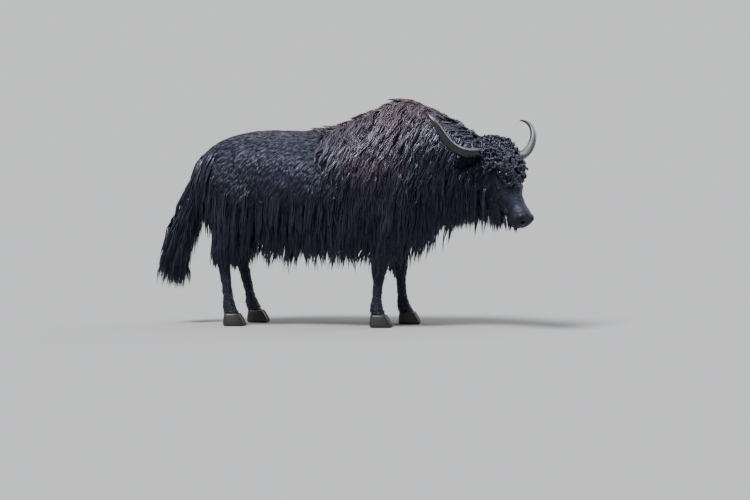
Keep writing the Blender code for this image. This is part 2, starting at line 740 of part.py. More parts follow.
def tail():
    """The dock with the locks of its brush in tiers, hanging clear of the buttocks."""
    course = smooth_through(TAIL_PATH, TAIL_RINGS)
    made = swept("tail", course[:, :3], course[:, 3], TAIL_SIDES, outward=(1, 0, 0.1))
    core = tree_of([made])
    dice = random.Random(53)
    locks = []
    for height, count, length, spread, stand_off in TAIL_TIERS:
        x, y = (np.interp(-height, -course[2:, 2], course[2:, i]) for i in (0, 1))
        for k in range(count):
            turn = 2 * math.pi * (k + dice.uniform(-0.1, 0.1)) / count + height * 5
            out = Vector((math.cos(turn), math.sin(turn), 0))
            root = onto(core, Vector((x, y, height + dice.uniform(-0.02, 0.02))), out)
            locks.append(lock(core, root, GRAVITY + out * spread, length * dice.uniform(0.92, 1.05),
                              TAIL_LOCK_WIDTH, 0.015, lift=(0.002, stand_off), pull=0.02, foot=0.4))
    boolean(made, "UNION", locks)
    return made


CURL_ROWS = (
    # along the face, curls across, reach to each side, radius
    (-0.062, 4, 0.078, 0.040),
    (-0.006, 4, 0.100, 0.047),
    (0.052, 4, 0.100, 0.044),
    (0.108, 4, 0.102, 0.046),
    (0.162, 3, 0.062, 0.040),
    (0.208, 3, 0.050, 0.031),
    (0.252, 2, 0.022, 0.028),
)
CURL_SIDES = 6


def curl(at, normal, size, turn):
    """A low dome with its foot inside the skin."""
    points = []
    for height, spread in ((-0.35, 0.92), (0.42, 0.90)):
        for k in range(CURL_SIDES):
            angle = turn + 2 * math.pi * k / CURL_SIDES
            across, along = math.cos(angle) * spread, math.sin(angle) * spread * 0.84
            points.append(Vector((across, along, height)) * size)
    points += [Vector((0, 0, 0.80)) * size, Vector((0, 0, -0.35)) * size]
    faces = []
    for i in range(CURL_SIDES):
        j = (i + 1) % CURL_SIDES
        faces += [(i, j, CURL_SIDES + j), (i, CURL_SIDES + j, CURL_SIDES + i)]
        faces += [(CURL_SIDES + i, CURL_SIDES + j, 2 * CURL_SIDES), (j, i, 2 * CURL_SIDES + 1)]
    made = mesh_object("curl", points, faces)
    face_outwards(made)
    made.data.transform(Matrix.Translation(at) @ normal.to_track_quat("Z", "Y").to_matrix().to_4x4())
    return made


CHEEK_LOCKS = (
    # along the face, up from its axis, length
    (0.06, -0.09, 0.13),
    (0.13, -0.11, 0.13),
    (0.07, -0.17, 0.19),
    (0.15, -0.18, 0.17),
)
THROAT_LOCKS = (
    # ahead of and beside the middle of the body, length
    (0.770, -0.080, 0.24),
    (0.785, -0.160, 0.25),
    (0.790, -0.240, 0.23),
    (0.840, -0.150, 0.23),
    (0.855, -0.230, 0.20),
)


def head_coat(head, placed):
    """Curls of the poll and forehead, and the short locks of the cheeks and chin."""
    turned = placed.to_3x3()
    skin = tree_of([head])
    dice = random.Random(71)
    made = []
    for along, count, reach, radius in CURL_ROWS:
        for k in range(count):
            across = -reach + 2 * reach * k / (count - 1) + dice.uniform(-0.006, 0.006)
            at, normal = onto(skin, placed @ Vector((across, along + dice.uniform(-0.006, 0.006), 0.05)),
                              turned @ Vector((across * 4, -0.1, 1)))
            made.append(curl(at, normal, radius * dice.uniform(0.9, 1.08), dice.uniform(0, 3)))
    for side in (-1, 1):
        for along, up, length in CHEEK_LOCKS:
            root = onto(skin, placed @ Vector((side * 0.1, along, up)), turned @ Vector((side, 0, 0)))
            made.append(lock(skin, root, GRAVITY + turned @ Vector((0, -0.5, 0)), length, 0.070, 0.009,
                             lift=(0.0, 0.008), pull=0.7))
        root = onto(skin, placed @ Vector((side * 0.03, 0.19, -0.2)), turned @ Vector((side * 0.3, 0, -1)))
        way = GRAVITY + turned @ Vector((0, -0.5, -0.4))
        made.append(lock(skin, root, way, 0.15, 0.062, 0.011, pull=1.2))
    for x, y, length in THROAT_LOCKS:
        root = onto(skin, Vector((x, y, 0.7)), (0, 0, -1))
        made.append(lock(skin, root, (-0.05, 0, -1), length, 0.095, 0.014, pull=2.0))
    for along, length in ((0.410, 0.065), (0.36, 0.095), (0.30, 0.13)):
        root = onto(skin, placed @ Vector((0, along, -0.14)), turned @ Vector((0, 0, -1)))
        way = GRAVITY + turned @ Vector((0, -0.3, -0.5))
        made.append(lock(skin, root, way, length, 0.046, 0.010, pull=0.6))
    return made


def cut_clear(thing, neighbours, air=COAT_CLEARANCE):
    boolean(thing, "DIFFERENCE", [grown_copy(other, air) for other in neighbours])


EYE_OPENING = (0.0150, 0.0255, 0.034)


def eye_sockets(head, placed):
    """Cuts the sockets and the openings between the lids, and returns the eyeballs."""
    eyes, cutters = {}, []
    for word, side in (("right", 1), ("left", -1)):
        at = Vector((side * EYE_AT[0], EYE_AT[1], EYE_AT[2]))
        eye = ball("eye_" + word, at, (EYE_RADIUS,) * 3, sides=12, rings=7)
        room = ball("room", at, (EYE_RADIUS + CORE_CLEARANCE,) * 3, sides=12, rings=7)
        turns = (0, side * EYE_TURN, side * EYE_SWING)
        gaze = Matrix.Rotation(turns[2], 3, "Z") @ Matrix.Rotation(turns[1], 3, "Y") @ Vector((0, 0, 1))
        opening = ball("opening", at + gaze * EYE_OPENING[2], EYE_OPENING, turns, sides=12, rings=6)
        for piece in (eye, room, opening):
            piece.data.transform(placed)
        cutters += [room, opening]
        eyes["eye_" + word] = eye
    boolean(head, "DIFFERENCE", cutters)
    return eyes


def nose_and_mouth(head, placed):
    """Sinks the nostrils and the line between the lips."""
    turned = placed.to_3x3()
    skin = tree_of([head])
    cutters = []
    for side in (-1, 1):
        nostril = ball("nostril", (side * 0.037, 0.490, -0.054), (0.011, 0.022, 0.015),
                       (0.3, side * 0.3, side * 0.6), sides=10, rings=6)
        nostril.data.transform(placed)
        cutters.append(nostril)
    line = []
    for k in range(11):
        turn = math.pi * (k / 10 - 0.5) * 1.1
        look = Vector((math.sin(turn), math.cos(turn), 0))
        aim = Vector((0, 0.402, -0.102 - 0.010 * math.sin(turn) ** 2))
        at, _ = onto(skin, placed @ aim, turned @ look)
        line.append(at)
    radii = [0.003] + [0.0045] * 9 + [0.003]
    cutters.append(swept("mouth", line, radii, 5, outward=turned @ Vector((0, 0, 1))))
    boolean(head, "DIFFERENCE", cutters)


def build():
    clear_scene()
    black = material("black coat", COAT_BLACK, 0.62)
    brown = material("brown-black mane", COAT_BROWN, 0.68)
    horn_grey = material("horn", HORN_GREY, 0.38)
    hoof_black = material("hoof", HOOF_BLACK, 0.5)
    eye_brown = material("eye", EYE_BROWN, 0.08)
    placed = head_matrix()

    legs = [leg(name) for name in FEET]
    body = fused("body", [trunk(), *legs], BODY_VOXEL, 6, 1800)
    head_whole = fused("head_whole", [trunk(), *head_flesh()], HEAD_VOXEL, 3, 2700)
    skin = tree_of([body, head_whole])

    # The head meets the neck on a plane behind the poll; the neck meets the trunk ahead of the hump.
    nodes = {}
    far = 3.0
    behind_poll = placed @ Matrix.Translation((0, -0.080, 0)) @ Matrix.Rotation(math.radians(28), 4, "X")
    head_room = box("region", (-0.3, 0, -0.34), (0.3, 0.9, 0.3))
    head_room.data.transform(behind_poll)
    head = parted("head", head_whole, head_room)
    bpy.data.objects.remove(head_whole, do_unlink=True)

    neck_base = Matrix.Translation((0.50, -0.01, 0)) @ Matrix.Rotation(math.radians(-12), 4, "Z")
    before_head = box("region", (-far, -far, -far), (far, -GAP, far))
    before_head.data.transform(behind_poll)
    ahead_of_trunk = box("region", (GAP, -far, -far), (far, far, far))
    ahead_of_trunk.data.transform(neck_base)
    neck = parted("neck", body, ahead_of_trunk)
    boolean(neck, "INTERSECT", [before_head], "EXACT")

    behind_neck = box("region", (-far, -far, -far), (0, far, far))
    behind_neck.data.transform(neck_base)
    torso = parted("torso", body, behind_neck)
    leg_rooms = {
        "foreleg_right": ((0.09, -1, -1), (0.46, -0.075, 0.640)),
        "foreleg_left": ((0.09, 0.075, -1), (0.46, 1, 0.640)),
        "hindleg_right": ((-1.5, -1, -1), (-0.455, -GAP / 2, 0.860)),
        "hindleg_left": ((-1.5, GAP / 2, -1), (-0.455, 1, 0.860)),
    }
    cutters = []
    for name, (low, high) in leg_rooms.items():
        nodes[name] = parted(name, body, box("region", low, high))
        cutters.append(box("region", [v - GAP for v in low], [v + GAP for v in high]))
    boolean(torso, "DIFFERENCE", cutters, "EXACT")
    bpy.data.objects.remove(body, do_unlink=True)
    nodes.update({"torso": torso, "neck": neck, "head": head})

    for name, foot in FEET.items():
        label = name.replace("foreleg", "hoof_front").replace("hindleg", "hoof_hind")
        nodes[label] = hoof(label, foot)
    for word, side in (("right", 1), ("left", -1)):
        nodes["horn_" + word] = horn("horn_" + word, side, placed)
        nodes["ear_" + word] = ear("ear_" + word, side, placed)
        cut_clear(nodes["horn_" + word], [head, neck], CORE_CLEARANCE)
        cut_clear(nodes["ear_" + word], [head, neck, nodes["horn_" + word]], CORE_CLEARANCE)
    nodes["tail"] = tail()

    # Each coat in turn is joined to its node and cut clear of the nodes beside it.
    hard = [nodes[n] for n in nodes if n.startswith(("horn", "ear"))]
    feet = [nodes[n] for n in FEET]
    boolean(torso, "UNION", torso_coat(skin))
    cut_clear(torso, [*feet, neck, head, *hard], CORE_CLEARANCE)
    cut_clear(nodes["tail"], [torso, *feet], CORE_CLEARANCE)
    boolean(neck, "UNION", neck_coat(skin))
    cut_clear(neck, [head], CORE_CLEARANCE)
    cut_clear(neck, [torso, *hard])
    for word, side in (("right", -1), ("left", 1)):
        thigh = nodes["hindleg_" + word]
        boolean(thigh, "UNION", thigh_coat(skin, side))
        cut_clear(thigh, [torso, nodes["tail"]])
        fore = nodes["foreleg_" + word]
        boolean(fore, "UNION", leg_coat(skin, "foreleg_" + word))
        cut_clear(fore, [torso])
    clumps = head_coat(head, placed)
    nose_and_mouth(head, placed)
    nodes.update(eye_sockets(head, placed))
    boolean(head, "UNION", clumps)
    cut_clear(head, [torso, neck, *hard, nodes["eye_right"], nodes["eye_left"]])

    corners = [v.co for thing in nodes.values() for v in thing.data.vertices]
    low = Vector(min(c[i] for c in corners) for i in range(3))
    high = Vector(max(c[i] for c in corners) for i in range(3))
    stand = Matrix.Translation((-(low.x + high.x) / 2, -(low.y + high.y) / 2, -low.z))
    finish = {"horn": horn_grey, "hoof": hoof_black, "eye": eye_brown, "torso": brown, "neck": brown}
    for name, thing in nodes.items():
        thing.name = name
        thing.data.name = name
        thing.data.transform(stand)
        thing.data.materials.clear()
        thing.data.materials.append(finish.get(name.split("_")[0], black))


if __name__ == "__main__":
    build()
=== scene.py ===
import math

import bmesh
import bpy
import numpy as np
from mathutils import Matrix, Vector
from mathutils.bvhtree import BVHTree


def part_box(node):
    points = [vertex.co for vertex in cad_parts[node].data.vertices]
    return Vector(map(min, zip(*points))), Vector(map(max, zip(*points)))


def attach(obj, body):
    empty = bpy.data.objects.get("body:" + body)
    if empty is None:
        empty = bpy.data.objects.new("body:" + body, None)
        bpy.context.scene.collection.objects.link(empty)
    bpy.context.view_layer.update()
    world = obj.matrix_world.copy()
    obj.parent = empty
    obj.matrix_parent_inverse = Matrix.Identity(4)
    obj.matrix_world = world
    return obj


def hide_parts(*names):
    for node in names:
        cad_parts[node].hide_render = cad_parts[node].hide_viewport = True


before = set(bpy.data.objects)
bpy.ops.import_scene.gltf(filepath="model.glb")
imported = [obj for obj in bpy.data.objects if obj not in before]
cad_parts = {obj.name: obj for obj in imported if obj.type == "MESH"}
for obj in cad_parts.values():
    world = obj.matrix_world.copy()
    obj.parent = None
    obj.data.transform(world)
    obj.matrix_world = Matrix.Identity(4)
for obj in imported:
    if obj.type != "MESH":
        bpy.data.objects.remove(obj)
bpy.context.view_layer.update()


# Where the yak stands. Its own axes start on the floor under the middle of its back, as the solids
# were drawn, and a front hoof of the frame tells where that point is now.

FRONT_RIGHT_FOOT = (0.204, -0.150)
CLAW_HEEL = 0.055
hoof_low, hoof_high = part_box("hoof_front_right")
STAND = Vector((hoof_low.x - (FRONT_RIGHT_FOOT[0] - CLAW_HEEL),
                (hoof_low.y + hoof_high.y) / 2 - FRONT_RIGHT_FOOT[1], 0))


# Studio. A pale seamless floor and wall, a broad soft light over the camera's left shoulder, a wide
# one from above and one from behind that draws the edge of the black coat.

CAMERA_AZIMUTH, CAMERA_ELEVATION = math.radians(8.0), math.radians(2.5)
CAMERA_DISTANCE = 12.0
PIXELS_PER_METRE = 160.0          # in the 750 x 500 picture, at the middle of the body
PICTURE_WIDTH, PICTURE_HEIGHT = 750, 500
ORIGIN_IN_PICTURE = (350, 325)    # pixel where the yak's own axes start
SENSOR_WIDTH = 36.0
SKY = (
    # height as a share, colour
    (0.13, (0.83, 0.84, 0.86)),
    (0.24, (0.26, 0.26, 0.2704)),
    (0.72, (0.26, 0.26, 0.2704)),
    (1.0, (0.95, 0.97, 1.0)),
)
LAMPS = (
    # name, direction that it comes from, strength, softness in degrees, colour
    ("key", (-0.45, -0.55, 1.15), 9.0, 20, (1.0, 0.985, 0.97)),
    ("top", (0.25, 0.15, 1.6), 2.5, 60, (0.90, 0.94, 1.0)),
    ("edge", (0.9, 0.9, 0.75), 1.5, 40, (1, 1, 1)),
)
FLOOR_HALF = 60
FLOOR_GREY = (0.214, 0.2165, 0.2215)


def placed(name, data):
    made = bpy.data.objects.new(name, data)
    bpy.context.scene.collection.objects.link(made)
    return made


right_hand = Vector((math.cos(CAMERA_AZIMUTH), math.sin(CAMERA_AZIMUTH), 0))
towards_camera = Vector((math.sin(CAMERA_AZIMUTH) * math.cos(CAMERA_ELEVATION),
                         -math.cos(CAMERA_AZIMUTH) * math.cos(CAMERA_ELEVATION),
                         math.sin(CAMERA_ELEVATION)))
upwards = towards_camera.cross(right_hand).normalized()
aim = (STAND + right_hand * (PICTURE_WIDTH / 2 - ORIGIN_IN_PICTURE[0]) / PIXELS_PER_METRE
       + upwards * (ORIGIN_IN_PICTURE[1] - PICTURE_HEIGHT / 2) / PIXELS_PER_METRE)
camera = placed("camera", bpy.data.cameras.new("camera"))
camera.data.sensor_width = SENSOR_WIDTH
camera.data.lens = SENSOR_WIDTH * CAMERA_DISTANCE * PIXELS_PER_METRE / PICTURE_WIDTH
camera.data.clip_end = 400
camera.location = aim + towards_camera * CAMERA_DISTANCE
camera.rotation_euler = towards_camera.to_track_quat("Z", "Y").to_euler()
bpy.context.scene.camera = camera

for name, comes_from, strength, softness, colour in LAMPS:
    lamp = placed(name, bpy.data.lights.new(name, "SUN"))
    lamp.data.energy, lamp.data.angle, lamp.data.color = strength, math.radians(softness), colour
    lamp.rotation_euler = Vector(comes_from).to_track_quat("Z", "Y").to_euler()


def feed(tree, socket, value):
    """Gives an input a value, or joins another node's output to it."""
    if isinstance(value, bpy.types.NodeSocket):
        tree.links.new(value, socket)
    elif socket.type == "RGBA":
        socket.default_value = (*value, 1)
    else:
        socket.default_value = value


def node(tree, kind, feeds=(), **settings):
    made = tree.nodes.new(kind)
    for name, value in settings.items():
        setattr(made, name, value)
    for socket, value in dict(feeds).items():
        feed(tree, made.inputs[socket], value)
    return made


def banded(tree, value, stops):
    """A colour for each value, through (value, colour) stops."""
    made = node(tree, "ShaderNodeValToRGB", {"Fac": value})
    elements = made.color_ramp.elements
    elements[0].position, elements[1].position = stops[0][0], stops[-1][0]
    elements[0].color, elements[1].color = (*stops[0][1], 1), (*stops[-1][1], 1)
    for at, colour in stops[1:-1]:
        elements.new(at).color = (*colour, 1)
    return made.outputs["Color"]


def new_finish(name):
    made = bpy.data.materials.new(name)
    made.use_nodes = True
    return made, made.node_tree


def shade(tree, colour, roughness, gloss=0.5, tint=(1, 1, 1), height=None, strength=1.0, deep=0.0):
    """Feeds the shader; a height is pressed into the surface, deep in metres."""
    feeds = {"Base Color": colour, "Roughness": roughness, "Specular IOR Level": gloss, "Specular Tint": tint}
    if height:
        bump = node(tree, "ShaderNodeBump", {"Strength": strength, "Distance": deep, "Height": height})
        feeds["Normal"] = bump.outputs["Normal"]
    for socket, value in feeds.items():
        feed(tree, tree.nodes["Principled BSDF"].inputs[socket], value)


world = bpy.data.worlds.new("studio")
world.use_nodes = True
sky = world.node_tree
heading = node(sky, "ShaderNodeTexCoord").outputs["Generated"]
height = node(sky, "ShaderNodeSeparateXYZ", {"Vector": heading}).outputs["Z"]
feed(sky, sky.nodes["Background"].inputs["Color"], banded(sky, height, SKY))
bpy.context.scene.world = world

floor = placed("floor", bpy.data.meshes.new("floor"))
corners = [(x * FLOOR_HALF, y * FLOOR_HALF, 0) for x, y in ((-1, -1), (1, -1), (1, 1), (-1, 1))]
floor.data.from_pydata(corners, [], [(0, 1, 2, 3)])
floor_paint, tree = new_finish("pale floor")
shade(tree, FLOOR_GREY, roughness=1.0, gloss=0.0)
floor.data.materials.append(floor_paint)


# Finish of hide and hair. Both are the same near-black, with a warm brown cast over the hump and the
# upper back. On the short coat of the flank and rump, a cold blue-grey painted sheen lightens it. This is
# a reflection painted into the colour.

BLACK = (0.0058, 0.0056, 0.0096)
BROWN = (0.0520, 0.0290, 0.0270)
# Painted sheen: the blue-grey reflection that is painted into the colour of flank and rump.
SHEEN_GREY = (0.0150, 0.0150, 0.0270)
NOSE_BLACK = (0.0045, 0.0043, 0.0050)
SHEEN_BLUE = (0.64, 0.71, 1.0)
STRANDS = (7.0, 14.0, 1.0)      # lines across a tuft, waves per metre along it
# Where the painted sheen lies over the flank and rump.
PAINTED_SHEEN_FLANK = ((-0.42, 0.0, 1.00), (0.62, 0.60, 0.36), 0.7)      # middle, half sizes, softness
BROWN_PATCHES = (
    # middle, half sizes, softness, strength
    ((-0.45, 0.0, 1.24), (0.62, 0.40, 0.16), 0.8, 0.42),
    ((0.12, -0.25, 1.10), (0.42, 0.50, 0.30), 0.8, 0.45),
    ((0.22, 0.0, 1.40), (0.62, 0.50, 0.44), 0.75, 0.85),
)


def spanned(tree, value, start=(0, 1), end=(0, 1), **settings):
    """Carries a value over from the span start to the span end."""
    return node(tree, "ShaderNodeMapRange", {
        "Value": value, "From Min": start[0], "From Max": start[1], "To Min": end[0], "To Max": end[1],
    }, **settings).outputs["Result"]


def near(tree, middle, reach, soft):
    """0 to 1, rising towards a spot of the body, with reach as its half sizes."""
    place = node(tree, "ShaderNodeTexCoord").outputs["Object"]
    feeds = {"Vector": place, "Location": STAND + Vector(middle), "Scale": reach}
    moved = node(tree, "ShaderNodeMapping", feeds, vector_type="TEXTURE")
    away = node(tree, "ShaderNodeVectorMath", {0: moved.outputs["Vector"]}, operation="LENGTH")
    return spanned(tree, away.outputs["Value"], (1.0, 1.0 - soft), interpolation_type="SMOOTHSTEP")


def mixed(tree, amount, first, second, blend="MIX"):
    return node(tree, "ShaderNodeMix", {0: amount, 6: first, 7: second}, data_type="RGBA",
                blend_type=blend).outputs[2]


def times(tree, first, second):
    return node(tree, "ShaderNodeMath", {0: first, 1: second}, operation="MULTIPLY").outputs[0]


def darkened(tree, colour, share):
    """A colour times a share of light."""
    grey = node(tree, "ShaderNodeCombineColor", {0: share, 1: share, 2: share}).outputs[0]
    return mixed(tree, 1.0, colour, grey, "MULTIPLY")


def noise(tree, place, scale=1.0, detail=2.0):
    feeds = {"Vector": place, "Scale": scale, "Detail": detail}
    return node(tree, "ShaderNodeTexNoise", feeds).outputs["Fac"]


def told(tree, name, kind="Fac"):
    """What the mesh says at each point, by the name of its attribute."""
    return node(tree, "ShaderNodeAttribute", attribute_name=name).outputs[kind]


def coat_colour(tree, brown=1.0):
    """The coat's markings, read from the place on the body, with a painted sheen on flank and rump."""
    colour = mixed(tree, near(tree, *PAINTED_SHEEN_FLANK), BLACK, SHEEN_GREY)
    for *patch, strength in BROWN_PATCHES:
        colour = mixed(tree, times(tree, near(tree, *patch), strength * brown), colour, BROWN)
    return colour


def hair_finish(name, roughness, brown=1.0, light=1.0, gloss=0.55, contrast=1.0):
    """Hair in tufts of many strands: each tuft a little lighter or darker, and paler towards its tip. The
    pale tip is partly the hair's own colour and partly a painted highlight; the dark root is painted shade.
    """
    made, tree = new_finish(name)
    dark, pale = (1.2 - 0.95 * contrast) * light, (1.2 + 1.3 * contrast) * light
    of_tuft = spanned(tree, told(tree, "shade"), end=(dark, pale))
    # Painted shade at the root of each tuft, and a painted highlight towards its tip over the hair's own
    # paler ends.
    tip_light_root_shade = spanned(tree, told(tree, "along"), end=(1.0 - 0.6 * contrast, 1.0 + 0.5 * contrast))
    colour = darkened(tree, coat_colour(tree, brown), times(tree, of_tuft, tip_light_root_shade))
    drawn_out = node(tree, "ShaderNodeMapping", {"Vector": told(tree, "strand", "Vector"), "Scale": STRANDS})
    lines = noise(tree, drawn_out.outputs["Vector"], detail=1.0)
    shade(tree, colour, roughness, gloss, SHEEN_BLUE, height=lines, strength=0.8, deep=0.0016)
    return made


# Short fur lying flat, drawn as fine streaks along its lie, and bare damp skin on the nose.
hide_paint, tree = new_finish("hide")
place = node(tree, "ShaderNodeTexCoord").outputs["Object"]
grain = told(tree, "grain", "Vector")
streaks = noise(tree, grain, detail=3.0)
fur = darkened(tree, coat_colour(tree), spanned(tree, streaks, (0.3, 0.7), (0.5, 1.7)))
bare = told(tree, "bare")
pebbles = node(tree, "ShaderNodeTexVoronoi", {"Vector": place, "Scale": 260}).outputs["Distance"]
relief = mixed(tree, bare, streaks.node.outputs["Color"], times(tree, pebbles, 0.4))
shade(tree, mixed(tree, bare, fur, NOSE_BLACK), spanned(tree, bare, end=(0.52, 0.30)), gloss=0.3,
      tint=SHEEN_BLUE, height=relief, strength=0.55, deep=0.004)


# Hide. The body under the coat is one skin from the nose to the root of the tail. It is drawn as
# oval sections of the trunk, the legs and the head, melted together, with folds and hollows on top.

HOOF_HEIGHT = 0.075
FEET = {
    "foreleg_right": FRONT_RIGHT_FOOT,
    "foreleg_left": (0.345, 0.150),
    "hindleg_right": (-0.715, -0.150),
    "hindleg_left": (-0.625, 0.150),
}
TRUNK = (
    # x, y, yaw in degrees, top, bottom, half width, height of the widest level as a share, top pinch
    (-0.93, 0, 0, 1.03, 0.84, 0.07, 0.5, 1.0),
    (-0.89, 0, 0, 1.105, 0.74, 0.155, 0.5, 1.0),
    (-0.80, 0, 0, 1.163, 0.66, 0.215, 0.5, 1.1),
    (-0.66, 0, 0, 1.206, 0.60, 0.258, 0.52, 1.1),
    (-0.50, 0, 0, 1.223, 0.57, 0.275, 0.52, 1.15),
    (-0.30, 0, 0, 1.218, 0.55, 0.292, 0.48, 1.2),
    (-0.10, 0, 0, 1.222, 0.54, 0.305, 0.44, 1.3),
    (0.08, 0, 0, 1.306, 0.535, 0.305, 0.42, 1.45),
    (0.22, 0, 0, 1.374, 0.54, 0.295, 0.42, 1.55),
    (0.35, 0, -2, 1.414, 0.555, 0.270, 0.42, 1.55),
    (0.47, -0.01, -8, 1.373, 0.60, 0.232, 0.44, 1.45),
    (0.58, -0.035, -16, 1.320, 0.665, 0.190, 0.46, 1.3),
    (0.68, -0.075, -25, 1.262, 0.735, 0.158, 0.48, 1.2),
    (0.77, -0.125, -33, 1.203, 0.785, 0.138, 0.5, 1.1),
    (0.85, -0.185, -40, 1.15, 0.83, 0.125, 0.5, 1.0),
)
FORELEG = (
    # height, ahead of the shoulder line, beside the middle, half length, half width
    (1.06, 0.310, 0.130, 0.130, 0.075),
    (0.92, 0.310, 0.175, 0.155, 0.098),
    (0.78, 0.285, 0.190, 0.140, 0.100),
    (0.66, 0.250, 0.182, 0.108, 0.086),
    (0.55, 0.245, 0.170, 0.078, 0.066),
    (0.45, 0.250, 0.160, 0.060, 0.054),
    (0.375, 0.258, 0.155, 0.055, 0.051),
    (0.30, 0.250, 0.152, 0.041, 0.040),
    (0.19, 0.248, 0.150, 0.037, 0.037),
    (0.125, 0.252, 0.150, 0.047, 0.044),
    (HOOF_HEIGHT - 0.012, 0.272, 0.150, 0.053, 0.050),
)
HINDLEG = (
    (1.10, -0.640, 0.110, 0.160, 0.080),
    (0.96, -0.665, 0.150, 0.195, 0.100),
    (0.83, -0.660, 0.172, 0.185, 0.100),
    (0.72, -0.665, 0.175, 0.150, 0.088),
    (0.61, -0.715, 0.168, 0.105, 0.068),
    (0.53, -0.752, 0.162, 0.074, 0.054),
    (0.46, -0.775, 0.158, 0.063, 0.047),
    (0.38, -0.762, 0.154, 0.047, 0.041),
    (0.20, -0.738, 0.150, 0.038, 0.038),
    (0.125, -0.726, 0.150, 0.047, 0.045),
    (HOOF_HEIGHT - 0.012, -0.705, 0.150, 0.053, 0.050),
)
LEG_PIVOT = 0.80                    # above this height the legs don't lean
TRUNK_RINGS, LEG_RINGS, HEAD_RINGS = 70, 50, 80
BODY_SIDES, LEG_SIDES = 48, 28
BELLY_PINCH, JAW_PINCH = 0.85, 0.9
BODY_VOXEL, HEAD_VOXEL = 0.0162, 0.0042


def smooth_bend(a, b, c, d, t):
    """A point on the smooth curve from b to c, with a before them and d behind."""
    return 0.5 * (2 * b + (c - a) * t + (2 * a - 5 * b + 4 * c - d) * t**2 + (3 * b - a - 3 * c + d) * t**3)


def smooth_through(rows, count):
    """Rows of numbers spread evenly along a smooth curve through the given rows."""
    rows = np.array(rows, float)
    padded = np.vstack([2 * rows[0] - rows[1], rows, 2 * rows[-1] - rows[-2]])
    out = []
    for step in np.linspace(0, len(rows) - 1, count):
        i = min(int(step), len(rows) - 2)
        out.append(smooth_bend(*padded[i:i + 4], step - i))
    return np.array(out)


def drawn(name, points, faces):
    mesh = bpy.data.meshes.new(name)
    mesh.from_pydata([tuple(p) for p in points], [], [tuple(f) for f in faces])
    return placed(name, mesh)


def shape_of(*things):
    shape = bmesh.new()
    for thing in things:
        shape.from_mesh(thing.data)
    return shape


def settled(shape, mesh):
    shape.to_mesh(mesh)
    shape.free()
    return mesh


def smooth(thing):
    thing.data.polygons.foreach_set("use_smooth", [True] * len(thing.data.polygons))


def loft(name, rings, closed_round=False):
    """A closed mesh through rings alike in number: its ends are fans, or it runs round into itself."""
    rings = [np.array(ring, float) for ring in rings]
    count, sides = len(rings), len(rings[0])
    points = [p for ring in rings for p in ring]
    faces = []
    for k in range(count if closed_round else count - 1):
        here, ahead = k * sides, (k + 1) % count * sides
        for i in range(sides):
            j = (i + 1) % sides
            faces.append((here + i, here + j, ahead + j, ahead + i))
    if not closed_round:
        first, last, base = len(points), len(points) + 1, (count - 1) * sides
        points += [rings[0].mean(0), rings[-1].mean(0)]
        for i in range(sides):
            j = (i + 1) % sides
            faces += [(j, i, first), (base + i, base + j, last)]
    made = drawn(name, points, faces)
    shape = shape_of(made)
    bmesh.ops.recalc_face_normals(shape, faces=shape.faces)
    if shape.calc_volume(signed=True) < 0:
        bmesh.ops.reverse_faces(shape, faces=shape.faces)
    settled(shape, made.data)
    return made


def oval(half_width, rise, drop, sides, pinch_top=1.0, pinch_bottom=1.0):
    """(across, up) points of a section that is widest at height 0. A pinch over 1 narrows that end."""
    out = []
    for k in range(sides):
        turn = 2 * math.pi * k / sides
        across, up = math.sin(turn), math.cos(turn)
        pinch = pinch_top if up > 0 else pinch_bottom
        out.append((math.copysign(abs(across)**pinch, across) * half_width, up * (rise if up > 0 else drop)))
    return out


def trunk(beyond=-2.0):
    """The trunk, or only its part in front of a place along it."""
    rings = []
    for x, y, yaw, top, bottom, half_width, widest, pinch in smooth_through(TRUNK, TRUNK_RINGS):
        middle, heading = bottom + widest * (top - bottom), math.radians(yaw)
        if x >= beyond:
            rings.append([(x - across * math.sin(heading), y + across * math.cos(heading), middle + up)
                          for across, up in oval(half_width, top - middle, middle - bottom, BODY_SIDES, pinch,
                                                 BELLY_PINCH)])
    return loft("trunk", rings)


def leg(name):
    sections = FORELEG if name.startswith("fore") else HINDLEG
    foot_x, foot_y = FEET[name]
    lean = foot_x - sections[-1][1]
    rings = []
    for height, x, y, half_length, half_width in smooth_through(sections, LEG_RINGS):
        share = max(0.0, 1 - height / LEG_PIVOT) / (1 - HOOF_HEIGHT / LEG_PIVOT)
        rings.append([(x + lean * share + up, math.copysign(1, foot_y) * y + across, height)
                      for across, up in oval(half_width, half_length, half_length, LEG_SIDES)])
    return loft(name, rings)


def in_order(thing):
    """Redraws a mesh with each face begun at its first point, and the faces sorted, so that every run gives
    the same mesh."""
    faces = []
    for face in thing.data.polygons:
        ring = list(face.vertices)
        first = ring.index(min(ring))
        faces.append(ring[first:] + ring[:first])
    mesh = bpy.data.meshes.new(thing.name)
    mesh.from_pydata([v.co[:] for v in thing.data.vertices], [], sorted(faces))
    thing.data = mesh


def ball(name, middle, radii, turns=(0, 0, 0), sides=32, rings=20):
    shape = bmesh.new()
    bmesh.ops.create_uvsphere(shape, u_segments=sides, v_segments=rings, radius=1.0)
    mesh = settled(shape, bpy.data.meshes.new(name))
    turn = (Matrix.Rotation(turns[2], 4, "Z") @ Matrix.Rotation(turns[1], 4, "Y")
            @ Matrix.Rotation(turns[0], 4, "X"))
    mesh.transform(Matrix.Translation(Vector(middle)) @ turn @ Matrix.Diagonal((*radii, 1)))
    made = placed(name, mesh)
    in_order(made)
    return made


